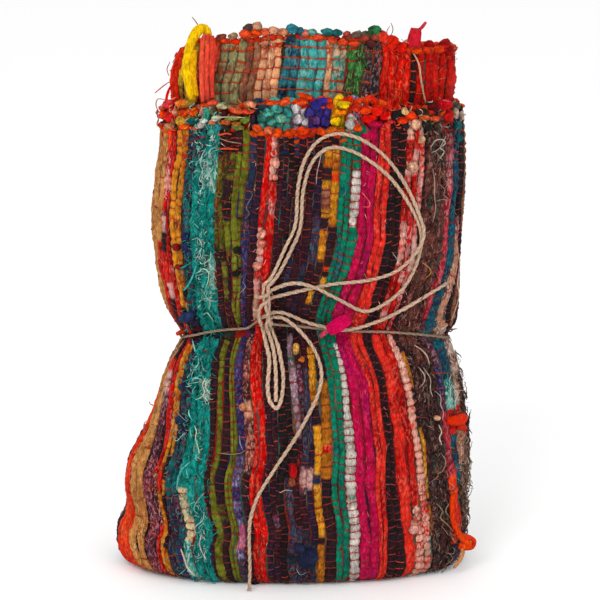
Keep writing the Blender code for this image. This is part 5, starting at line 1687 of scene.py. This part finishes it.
    (371, 44, 5, 4, 3.0, 1, (90, 40, 40)), (383, 37, 6, 6, 3.6, 1, (232, 64, 50)),
    (392, 42, 7, 6, 3.6, 1, (238, 50, 34)), (401, 47, 6, 5, 3.0, 1, (228, 40, 28)),
    (415, 50, 6, 4, 3.4, 1, (226, 70, 34)), (427, 50, 6, 4, 3.4, 1, (216, 60, 36)),
    (437, 49, 6, 4, 3.4, 1, (226, 66, 34)), (429, 45, 5, 4, 2.0, 1, (170, 24, 24)),
    (444, 44, 6, 5, 2.0, 1, (176, 26, 26)), (449, 50, 4, 6, 1.6, 1, (150, 20, 22)),
)

# Loose threads and torn strips lying on the cloth: colour, half thickness in mm, how
# flat, the turn they lie on and rows of frame x, frame y and lift in mm.
STRANDS = (
    ((204, 168, 134), 0.95, 1, 1, ((411, 52, 2), (414, 58, 3), (417, 66, 3), (418, 76, 3),
                                   (420, 88, 3), (422, 98, 3), (425, 106, 2))),
    ((182, 214, 184), 0.27, 1, 0, ((212, 172, 3), (213, 181, 3.4), (212, 190, 3))),
    ((171, 206, 190), 0.42, 1, 0, ((208, 148, 3), (205, 156, 4), (204, 164, 4), (206, 171, 4),
                                  (203, 178, 4.4), (206, 184, 3))),
    ((196, 222, 207), 0.38, 1, 0, ((199, 237, 3), (203, 240, 4), (205, 246, 4), (203, 252, 4),
                                  (204, 258, 3))),
    ((180, 220, 194), 0.46, 1, 0, ((213, 251, 3), (213, 258, 4), (206, 263, 4.6), (202, 261, 3))),
    ((180, 220, 194), 0.46, 1, 0, ((201, 272, 3), (206, 268, 4.6), (211, 270, 4.6),
                                  (212, 277, 4.4), (209, 285, 3))),
    ((70, 180, 170), 0.87, 1, 0, ((186, 290, 2.4), (192, 284, 4), (197, 274, 4.4), (199, 264, 3))),
    ((161, 200, 180), 0.31, 1, 0, ((211, 295, 3), (213, 303, 3.6), (211, 309, 3))),
    ((171, 196, 159), 0.46, 1, 0, ((206, 314, 3), (211, 312, 4.6), (215, 317, 4.6), (216, 321, 3))),
    ((120, 114, 116), 0.4, 1, 0, ((250, 190, 2.6), (254, 194, 3.6), (251, 200, 3.6),
                                  (248, 207, 3.6), (251, 213, 3.6), (246, 218, 2.6))),
    ((150, 146, 150), 0.36, 1, 0, ((244, 281, 2.6), (247, 286, 3.4), (243, 291, 3.4),
                                   (240, 293, 2.6))),
    ((172, 162, 152), 0.5, 1, 0, ((321, 154, 2.6), (319, 163, 3.6), (317, 172, 3.6),
                                  (316, 184, 2.8))),
    ((230, 112, 112), 0.48, 1, 0, ((361, 192, 3), (365, 197, 4), (368, 202, 4.4), (367, 206, 4),
                                  (362, 206, 3))),
    ((176, 160, 160), 0.4, 1, 0, ((391, 252, 2.4), (394, 257, 3.2), (398, 262, 2.4))),
    ((190, 180, 165), 0.56, 1, 0, ((428, 147, 3), (432, 140, 4), (438, 139, 4.6), (441, 143, 4.4),
                                  (436, 147, 4.6), (440, 151, 4.4), (437, 158, 3))),
    ((174, 160, 146), 0.43, 1, 0, ((443, 136, 3), (438, 142, 5), (434, 149, 4.6), (429, 152, 3))),
    ((166, 138, 124), 0.56, 1, 0, ((430, 168, 3), (431, 180, 4), (431, 195, 4), (432, 208, 4),
                                  (430, 222, 3))),
    ((156, 128, 116), 0.48, 1, 0, ((433, 201, 3), (438, 199, 4), (445, 200, 3))),
    ((150, 112, 100), 0.48, 1, 0, ((437, 184, 3), (441, 189, 4), (440, 194, 4), (445, 198, 3))),
    ((140, 104, 92), 0.48, 1, 0, ((440, 176, 3), (443, 183, 4), (441, 190, 3))),
    ((170, 130, 70), 0.62, 1, 0, ((420, 262, 3), (425, 267, 5), (427, 272, 4.4), (424, 277, 3))),
    ((206, 160, 140), 0.68, 1, 0, ((454, 246, 2.4), (456, 262, 3.4), (454, 282, 3.6),
                                  (455, 298, 3.4), (449, 320, 2.4))),
    ((196, 184, 150), 0.56, 1, 0, ((213, 121, 5), (221, 117, 6), (234, 116, 6), (248, 117, 5))),
    ((166, 132, 108), 0.5, 1, 0, ((222, 138, 3), (232, 141, 4), (243, 143, 3))),
    ((222, 84, 50), 0.81, 1, 0, ((218, 149, 2.4), (228, 148, 3.4), (240, 149, 2.4))),
    ((226, 88, 56), 0.74, 1, 0, ((220, 135, 2.4), (228, 133, 3.4), (233, 134, 2.4))),
    ((120, 198, 190), 0.5, 1, 0, ((201, 356, 3), (202, 363, 4.4), (197, 371, 4.4),
                                  (194, 377, 3))),
    ((195, 226, 215), 0.46, 1, 0, ((194, 381, 3), (199, 377, 4.6), (204, 379, 3))),
    ((138, 196, 180), 0.35, 1, 0, ((190, 384, 3), (197, 382, 4.6), (206, 381, 3))),
    ((206, 220, 190), 0.46, 1, 0, ((208, 377, 3), (206, 384, 4.4), (208, 391, 4.4),
                                  (205, 396, 4.4), (198, 399, 3))),
    ((156, 186, 178), 0.3, 1, 0, ((179, 411, 2.6), (185, 416, 4), (189, 421, 2.6))),
    ((207, 222, 184), 0.46, 1, 0, ((197, 425, 3), (200, 430, 4.6), (199, 437, 4.4),
                                  (201, 445, 4.4), (202, 453, 3))),
    ((189, 214, 203), 0.3, 1, 0, ((175, 435, 2.6), (180, 440, 4), (187, 432, 2.6))),
    ((110, 190, 180), 0.68, 1, 0, ((186, 466, 3), (182, 475, 4.4), (179, 489, 3))),
    ((138, 190, 174), 0.46, 1, 0, ((206, 492, 3), (200, 500, 4.6), (197, 508, 4.6), (200, 513, 3))),
    ((193, 204, 186), 0.35, 1, 0, ((206, 511, 3), (205, 519, 4), (198, 526, 4.4), (198, 534, 3))),
    ((216, 206, 196), 0.56, 1, 0, ((203, 534, 3), (202, 543, 4), (204, 550, 4), (208, 559, 3))),
    ((224, 202, 180), 0.93, 0.6, 0, ((183, 548, 3), (187, 557, 4), (190, 566, 4), (197, 575, 3))),
    ((146, 146, 90), 0.4, 1, 0, ((219, 452, 3), (232, 453, 4), (242, 452, 4), (247, 449, 3))),
    ((134, 134, 154), 0.48, 1, 0, ((241, 434, 3), (242, 442, 4), (244, 449, 3))),
    ((206, 170, 150), 0.68, 1, 0, ((411, 344, 3), (418, 349, 4.4), (423, 355, 4.4),
                                  (427, 364, 3))),
    ((190, 170, 160), 0.48, 1, 0, ((416, 366, 3), (421, 374, 4), (421, 381, 4), (417, 387, 3))),
    ((180, 158, 148), 0.5, 1, 0, ((421, 367, 3), (427, 378, 4), (427, 388, 4), (430, 396, 3))),
    ((176, 156, 146), 0.5, 1, 0, ((432, 390, 3), (437, 396, 4), (437, 404, 4), (440, 412, 4),
                                  (439, 420, 3))),
    ((220, 188, 168), 0.68, 1, 0, ((436, 424, 3), (438, 431, 4), (436, 437, 4), (439, 444, 3))),
    ((161, 200, 188), 0.5, 1, 0, ((449, 385, 3), (453, 394, 4), (451, 401, 4), (453, 409, 3))),
    ((150, 134, 110), 0.43, 1, 0, ((438, 452, 3), (442, 460, 4), (439, 470, 4), (434, 473, 3))),
    ((176, 150, 112), 0.43, 1, 0, ((434, 503, 3), (439, 510, 4), (437, 517, 4), (444, 524, 4),
                                  (450, 531, 3))),
    ((158, 138, 108), 0.48, 1, 0, ((446, 503, 3), (442, 510, 4), (447, 517, 3))),
    ((140, 124, 104), 0.48, 1, 0, ((446, 552, 2.6), (449, 558, 3.6), (444, 564, 2.6))),
    ((196, 180, 176), 0.4, 1, 0, ((292, 490, 2.4), (286, 489, 3.2), (280, 492, 2.4))),
    ((158, 176, 184), 0.25, 1, 0, ((296, 567, 3.6), (300, 573, 4.6), (306, 571, 4.2))),
    ((138, 154, 161), 0.25, 1, 0, ((304, 583, 2.4), (309, 586, 2.6), (313, 588, 2))),
    ((208, 110, 72), 0.56, 1, 0, ((148, 402, 5.5), (154, 404, 4), (160, 407, 2.4))),
    # an orange-red rag that crosses three picks, and the pale one over it
    ((226, 56, 22), 4.6, 0.6, 0, ((446, 421, 1.0), (452, 420, 3.6), (459, 419, 3.6),
                                  (464, 420, 1.0))),
    ((206, 50, 22), 3.4, 0.6, 0, ((456, 427, 1.0), (460, 427, 3.2), (464, 429, 1.0))),
)

# Bits of rag and thread that hang free of the silhouette: colour, half thickness in
# mm, how flat, and rows of frame x, frame y and distance behind the axis in mm.
FREE = (
    # red torn strips at the left of the core
    ((224, 52, 40), 2.1, 0.6, ((178, 100, -22), (176, 84, -20), (176, 66, -18), (179, 54, -16))),
    ((232, 60, 44), 1.6, 0.6, ((173, 108, -24), (172, 90, -22), (172, 72, -20), (176, 60, -18))),
    ((214, 70, 50), 0.6, 1, ((155, 93, -20), (162, 87, -22), (169, 82, -22))),
    ((226, 40, 36), 1.4, 0.6, ((168, 114, -22), (166, 103, -24), (168, 92, -24), (172, 84, -22))),
    ((206, 84, 70), 0.5, 1, ((169, 76, -22), (167, 69, -22), (170, 62, -20))),
    ((200, 110, 96), 0.5, 1, ((166, 100, -24), (158, 99, -20), (156, 105, -18), (159, 112, -20),
                              (163, 115, -24))),
    ((190, 60, 52), 0.6, 1, ((163, 118, -24), (161, 110, -20), (164, 101, -24))),
    ((234, 44, 40), 2.6, 0.6, ((166, 122, -24), (169, 113, -26), (173, 104, -27), (174, 97, -26))),
    # the yellow rag that loops over the core's top, with a brown thread
    ((246, 196, 16), 4.6, 0.62, ((193, 102, -44), (190, 88, -46), (187, 70, -46), (189, 50, -45),
                                 (193, 38, -43), (199, 30, -40), (205, 29, -37), (208, 35, -36),
                                 (207, 46, -36))),
    ((232, 88, 68), 2.6, 0.8, ((203, 102, -50), (202, 84, -50), (202, 66, -49), (202, 50, -48), (203, 40, -45), (205, 35, -42))),
    ((226, 80, 62), 2.8, 0.8, ((208, 100, -52), (207, 84, -51), (207, 68, -50), (208, 50, -49), (208, 40, -46), (209, 34, -44))),
    ((216, 70, 54), 2.6, 0.8, ((213, 98, -54), (212, 84, -53), (212, 68, -52), (213, 52, -51), (213, 42, -49), (212, 36, -47))),
    ((236, 172, 20), 2.8, 0.7, ((197, 96, -47), (194, 80, -48), (193, 64, -48), (195, 50, -46))),
    ((150, 110, 80), 0.55, 1, ((199, 27, -38), (196, 22, -37), (192, 17, -36))),
    # the torn flat end at the top right, and the threads by it
    ((196, 40, 52), 6.2, 0.08, ((415, 54, -36), (414, 47, -39), (414, 41, -41), (415, 35, -41),
                                (416, 30, -40), (416, 28, -40))),
    ((200, 52, 62), 1.7, 0.20, ((415, 31, -41), (420, 29, -40), (423, 26, -39), (426, 22, -38))),
    ((170, 160, 150), 0.45, 1, ((450, 48, -10), (453, 49, -9), (456, 48, -8))),
    ((150, 60, 50), 0.45, 1, ((391, 36, -30), (393, 29, -29), (391, 23, -28))),
    ((170, 90, 80), 0.4, 1, ((388, 38, -30), (387, 31, -29), (390, 26, -28))),
    # the magenta strip by the waist
    ((206, 24, 84), 6.4, 0.16, ((350, 318, -66), (343, 322, -69), (335, 327, -71),
                                (328, 331, -71))),
    ((196, 70, 90), 2.2, 0.3, ((328, 331, -71), (323, 334, -70), (320, 337, -68))),
    # the orange-red rag that loops out at the lower right
    ((226, 66, 26), 2.8, 0.7, ((453, 494, -42), (452, 508, -43), (453, 520, -42), (457, 530, -38),
                               (463, 536, -33), (470, 538, -28), (474, 541, -24), (472, 547, -24),
                               (465, 548, -30), (459, 547, -36))),
    ((232, 76, 30), 3.0, 0.7, ((458, 532, -38), (463, 540, -34), (469, 544, -30), (466, 547, -30),
                               (460, 544, -35))),
    ((206, 140, 90), 1.8, 0.7, ((461, 548, -34), (463, 553, -34), (459, 561, -36),
                                (454, 568, -40))),
    # the red fold at the lower left
    ((226, 50, 30), 5.6, 0.72, ((133, 525, -16), (126, 530, -12), (123, 538, -10),
                                (125, 547, -11), (130, 556, -15), (137, 561, -20))),
    ((206, 26, 28), 3.4, 0.8, ((131, 532, -20), (128, 540, -17), (129, 549, -18),
                               (134, 556, -22))),
)


# Short torn ends strewn over the front: frame x and y from and to, how many, length
# and half thickness in mm, the turn they lie on, how proud in mm and their colours.
STREWN = (
    (155, 180, 98, 126, 34, 4, 9, 0.7, 0, 3.5, ((232, 60, 44), (240, 96, 60), (206, 30, 44),
                                                (214, 140, 110), (226, 74, 34))),
    (176, 200, 100, 130, 26, 3, 8, 0.6, 0, 3.5, ((222, 156, 60), (230, 84, 40), (140, 120, 50),
                                                 (60, 40, 30))),
    (192, 222, 102, 150, 80, 3, 9, 0.5, 0, 3.5, ((24, 140, 130), (60, 170, 150), (150, 206, 190),
                                                 (16, 100, 96), (206, 220, 206))),
    (213, 256, 98, 130, 46, 3, 8, 0.5, 0, 3.5, ((226, 96, 60), (110, 90, 60), (150, 150, 90),
                                                (206, 150, 120), (50, 36, 36), (110, 130, 50))),
    (186, 216, 140, 330, 240, 3, 8, 0.35, 0, 2.4, ((20, 136, 126), (34, 160, 148), (12, 104, 100),
                                                   (70, 180, 166), (24, 146, 136))),
    (196, 212, 140, 260, 30, 3, 8, 0.35, 0, 3.0, ((160, 206, 192), (196, 216, 204))),
    (203, 213, 148, 190, 46, 3, 9, 0.24, 0, 3.4, ((196, 222, 210), (150, 206, 194))),
    (198, 207, 236, 260, 26, 3, 8, 0.26, 0, 3.6, ((206, 226, 214), (170, 214, 200))),
    (200, 214, 262, 306, 54, 3, 9, 0.26, 0, 3.6, ((206, 224, 206), (150, 206, 194))),
    (193, 206, 352, 386, 44, 3, 9, 0.26, 0, 3.6, ((200, 222, 214), (130, 200, 190))),
    (202, 211, 376, 402, 26, 3, 8, 0.26, 0, 3.6, ((222, 222, 200), (170, 210, 196))),
    (196, 203, 424, 456, 24, 3, 8, 0.26, 0, 3.4, ((224, 222, 196), (170, 206, 190))),
    (174, 190, 408, 445, 26, 4, 9, 0.20, 0, 3.4, ((186, 200, 200), (120, 150, 156))),
    (170, 188, 380, 580, 60, 3, 8, 0.24, 0, 2.6, ((30, 120, 120), (70, 90, 110), (40, 60, 80),
                                                  (120, 150, 150))),
    (196, 209, 500, 560, 40, 3, 9, 0.24, 0, 3.4, ((206, 206, 194), (150, 200, 190))),
    (178, 212, 350, 590, 260, 3, 8, 0.34, 0, 2.4, ((20, 136, 126), (34, 160, 148), (12, 104, 100),
                                                   (60, 176, 162), (24, 146, 136))),
    (138, 158, 420, 570, 90, 3, 8, 0.32, 0, 2.6, ((110, 70, 120), (170, 60, 56), (214, 150, 120),
                                                  (60, 40, 60), (220, 120, 60))),
    (216, 246, 150, 320, 70, 2, 6, 0.35, 0, 2.0, ((116, 124, 40), (140, 140, 50), (70, 70, 28))),
    (346, 402, 104, 128, 46, 3, 8, 0.5, 0, 3.5, ((236, 60, 36), (206, 30, 30), (244, 110, 70),
                                                 (190, 24, 60))),
    (395, 432, 102, 130, 24, 3, 7, 0.5, 0, 3.5, ((40, 32, 32), (206, 170, 140), (226, 90, 50),
                                                 (90, 60, 50))),
    (430, 462, 98, 130, 34, 3, 8, 0.4, 0, 3.5, ((190, 30, 34), (120, 110, 96), (196, 180, 166),
                                                (60, 44, 40))),
    (426, 442, 110, 330, 90, 3, 9, 0.22, 0, 2.4, ((124, 92, 76), (96, 62, 50), (170, 136, 116),
                                                  (74, 44, 36))),
    (440, 457, 110, 330, 50, 3, 7, 0.20, 0, 1.6, ((140, 96, 88), (90, 56, 54), (186, 150, 136))),
    (404, 440, 340, 400, 26, 3, 8, 0.25, 0, 2.6, ((180, 156, 140), (120, 96, 80))),
    (424, 450, 400, 590, 70, 3, 9, 0.22, 0, 2.4, ((150, 130, 110), (110, 86, 70), (190, 170, 150),
                                                  (60, 40, 34))),
    (446, 466, 350, 580, 120, 4, 11, 0.22, 0, 3.4, ((150, 132, 112), (120, 100, 84),
                                                    (190, 174, 156), (80, 60, 50))),
    (218, 300, 32, 46, 34, 3, 7, 0.5, 1, 3.0, ((206, 150, 116), (110, 70, 60), (226, 90, 56),
                                               (150, 120, 90))),
    (342, 384, 33, 48, 50, 3, 9, 0.22, 1, 4.0, ((120, 90, 76), (80, 100, 60), (170, 130, 110),
                                                (60, 44, 40))),
    (376, 404, 36, 100, 40, 4, 9, 0.4, 1, 2.4, ((240, 60, 44), (220, 40, 30), (246, 120, 90))),
    (420, 452, 44, 100, 40, 3, 8, 0.35, 1, 2.2, ((190, 36, 34), (140, 20, 24), (214, 80, 66))),
    (196, 216, 40, 98, 36, 4, 9, 0.35, 1, 2.2, ((236, 100, 80), (214, 66, 54), (246, 150, 120))),
    (170, 196, 50, 98, 24, 4, 9, 0.35, 1, 2.6, ((230, 60, 44), (240, 180, 60), (206, 96, 60))),
    (255, 275, 140, 330, 40, 3, 7, 0.25, 0, 2.2, ((236, 150, 130), (220, 60, 50), (246, 190, 170))),
    (360, 420, 140, 330, 60, 3, 7, 0.22, 0, 2.0, ((236, 110, 90), (206, 40, 36), (240, 170, 150))),
    (345, 372, 140, 330, 30, 3, 7, 0.22, 0, 2.0, ((206, 50, 90), (166, 20, 66), (230, 110, 140))),
    (244, 268, 350, 590, 60, 3, 7, 0.22, 0, 2.0, ((236, 110, 90), (200, 30, 28), (240, 150, 130))),
    (346, 400, 350, 590, 110, 3, 7, 0.22, 0, 2.0, ((226, 60, 80), (206, 36, 44), (240, 120, 110),
                                                   (176, 24, 76))),
    (130, 172, 400, 575, 70, 3, 7, 0.24, 0, 2.2, ((216, 160, 100), (230, 90, 60), (150, 80, 60),
                                                  (180, 120, 140))),
)


def strew(pile, rng, x0, x1, y0, y1, count, short, long, thick, turn, proud, colours):
    x, y = rng.uniform(x0, x1, count), rng.uniform(y0, y1, count)
    length = rng.uniform(short, long, count) / 0.94
    way = math.pi / 2 + rng.normal(size=count) * 0.75
    bend = rng.normal(size=count) * 1.1
    s = np.linspace(0, 1, 6)[None, :]
    angle = way[:, None] + bend[:, None] * s
    dx, dy = np.cos(angle), np.sin(angle)
    px = x[:, None] + np.cumsum(dx, 1) * length[:, None] / 6
    py = y[:, None] + np.cumsum(dy, 1) * length[:, None] / 6
    lift = proud * (0.55 + 0.5 * np.sin(s * math.pi * rng.uniform(0.7, 1.3, (count, 1))))
    lift = lift * rng.uniform(0.7, 1.15, (count, 1))
    rows = np.stack([px, py, lift], -1)
    path = on_cloth(rows.reshape(-1, 3), float(turn)).reshape(count, 6, 3)
    along = unit(np.gradient(path, axis=1))
    u = unit(np.cross(along, np.array([0.0, -1.0, 0.2]) + 0.4 * rng.normal(size=(count, 1, 3))))
    v = np.cross(along, u)
    r = thick / 1000 * rng.uniform(0.6, 1.3, (count, 1)) * np.array([0.8, 1, 1, 0.95, 0.8, 0.35])
    phi = 2 * math.pi * np.arange(4) / 4
    flat = 0.55 if thick > 0.3 else 1.0
    points = (
        path[:, :, None]
        + u[:, :, None] * (r[..., None] * np.cos(phi))[..., None]
        + v[:, :, None] * (r[..., None] * flat * np.sin(phi))[..., None]
    )
    tone = linear(colours)[rng.integers(len(colours), size=count)]
    tone = np.clip(tone * rng.uniform(0.65, 1.35, (count, 1)), 0, 1)
    rag = np.broadcast_to(tone[:, None, None, :], points.shape)
    pile.add(points, ring_faces((count, 6), 4), rag)


def add_lump(pile, rng, x, y, wide, high, proud, turn, colour):
    """A ball of rag pressed on to the cloth, its long way across the picks."""
    base, inset = (1.0, 0.0) if turn == 1 else (0.0, 0.0050 if turn else 0.0)
    around = on_cloth(
        ((x, y, 0), (x + 1, y, 0), (x - 1, y, 0), (x, y - 2, 0), (x, y + 2, 0)), base, inset
    )
    centre, side, up = around[0], unit(around[1] - around[2]), unit(around[3] - around[4])
    out = unit(np.cross(side, up))
    q, faces = ball(11, 7)
    folds = unit(rng.normal(size=(3, 3)))
    crease = sum(np.sin(q @ f * k + rng.uniform(0, 6)) for f, k in zip(folds, (3.2, 4.6, 6.4)))
    q = q * (1 + 0.085 * crease[:, None] + 0.05 * rng.normal(size=(len(q), 1)))
    across = np.linalg.norm(around[1] - around[2]) / 2
    half = np.array([wide * min(across, 0.0016), high * 0.00096, 0.0024 + proud / 2000])
    tilt = 0.12 * rng.normal()
    points = (
        centre + out * (proud / 2000 - 0.0008)
        + side * (q[:, :1] * half[0])
        + up * (q[:, 1:2] * half[1] + q[:, :1] * half[0] * tilt)
        + out * (q[:, 2:3] * half[2])
    )
    # Painted shade: each lump is darkened in the dents of its folds and towards the cloth it rests on, and
    # lightened on its proud face.
    tone = linear(colour) * (1 + 0.16 * crease[:, None] + 0.08 * rng.normal(size=(len(points), 1)))
    tone = np.clip(tone * np.clip(0.75 + 0.35 * q[:, 2:3], 0.4, 1.1), 0, 1)
    fleck = np.concatenate([np.clip(tone * 0.5, 0, 1), np.full((len(points), 1), 0.25)], 1)
    pile.add(points, faces, tone, fleck)


pile = Pile()
rng = np.random.default_rng(111)
for x, y, wide, high, proud, turn, colour in LUMPS:
    add_lump(pile, rng, x, y, wide, high, proud, turn, colour)
keep(pile.build("rag_lumps", LUMPY))

pile = Pile()
rng = np.random.default_rng(121)
for colour, thick, flat, turn, points in STRANDS:
    path = spline(on_cloth(points, float(turn)), max(0.0011, thick * 0.0008))
    radius = thick / 1000 * (1 + 0.12 * wave(rng, 1, len(path), 4)[0])
    radius = np.maximum(radius * np.sin(np.linspace(0.35, math.pi - 0.35, len(path))) ** 0.4, 1e-4)
    add_tube(pile, path, radius, linear(colour), rng, sides=6 if thick < 2 else 8, flat=flat,
             normal=(0.0, -1.0, 0.15))
for colour, thick, flat, points in FREE:
    path = spline(in_view(points), max(0.0012, thick * 0.0006))
    radius = thick / 1000 * (1 + 0.10 * wave(rng, 1, len(path), 5)[0])
    radius = np.maximum(radius * np.sin(np.linspace(0.45, math.pi - 0.45, len(path))) ** 0.4, 1e-4)
    add_tube(pile, path, radius, linear(colour), rng, sides=6 if thick < 2 else 10, flat=flat,
             normal=(0.0, -1.0, 0.25))
keep(pile.build("loose_strands", COTTON))

pile = Pile()
rng = np.random.default_rng(131)
for row in STREWN:
    strew(pile, rng, *row)
keep(pile.build("torn_ends", COTTON))

# ------------------------------------------------------------------- stage, light
floor_mesh = bpy.data.meshes.new("floor")
floor_mesh.from_pydata([(-30, -30, 0), (30, -30, 0), (30, 30, 0), (-30, 30, 0)], [], [(0, 1, 2, 3)])
floor = bpy.data.objects.new("floor", floor_mesh)
scene.collection.objects.link(floor)
floor_finish = bpy.data.materials.new("floor")
floor_finish.use_nodes = True
floor_shader = floor_finish.node_tree.nodes["Principled BSDF"]
floor_shader.inputs["Base Color"].default_value = (0.97, 0.97, 0.97, 1.0)
floor_shader.inputs["Roughness"].default_value = 0.9
floor_mesh.materials.append(floor_finish)

world = bpy.data.worlds.new("studio")
world.use_nodes = True
world.node_tree.nodes["Background"].inputs["Color"].default_value = (1.0, 1.0, 1.0, 1.0)
world.node_tree.nodes["Background"].inputs["Strength"].default_value = 1.0
scene.world = world


def soft_light(name, at, size, power):
    light = bpy.data.lights.new(name, "AREA")
    light.shape = "SQUARE"
    light.size = size
    light.energy = power
    lamp = bpy.data.objects.new(name, light)
    lamp.location = at
    target = np.array([0.0, 0.0, 0.25])
    way = unit(target - np.array(at))
    lamp.rotation_euler = Vector(way.tolist()).to_track_quat("-Z", "Y").to_euler()
    scene.collection.objects.link(lamp)


soft_light("key", (-0.9, -2.0, 1.9), 1.2, 26.0)
soft_light("fill", (1.6, -1.8, 1.0), 1.4, 10.0)

# ---------------------------------------------------------------------- attach to the body and count
for piece in [ground] + rug_pieces + twine_pieces:
    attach(piece, "root")

total = 0
for piece in [ground] + rug_pieces + twine_pieces:
    piece.data.calc_loop_triangles()
    n = len(piece.data.loop_triangles)
    total += n
    print("triangles", piece.name, n)
print("triangles in all", total, "picks", picks_n, "dashes", dashes, "fuzz", fuzz, "tufts", tufts)
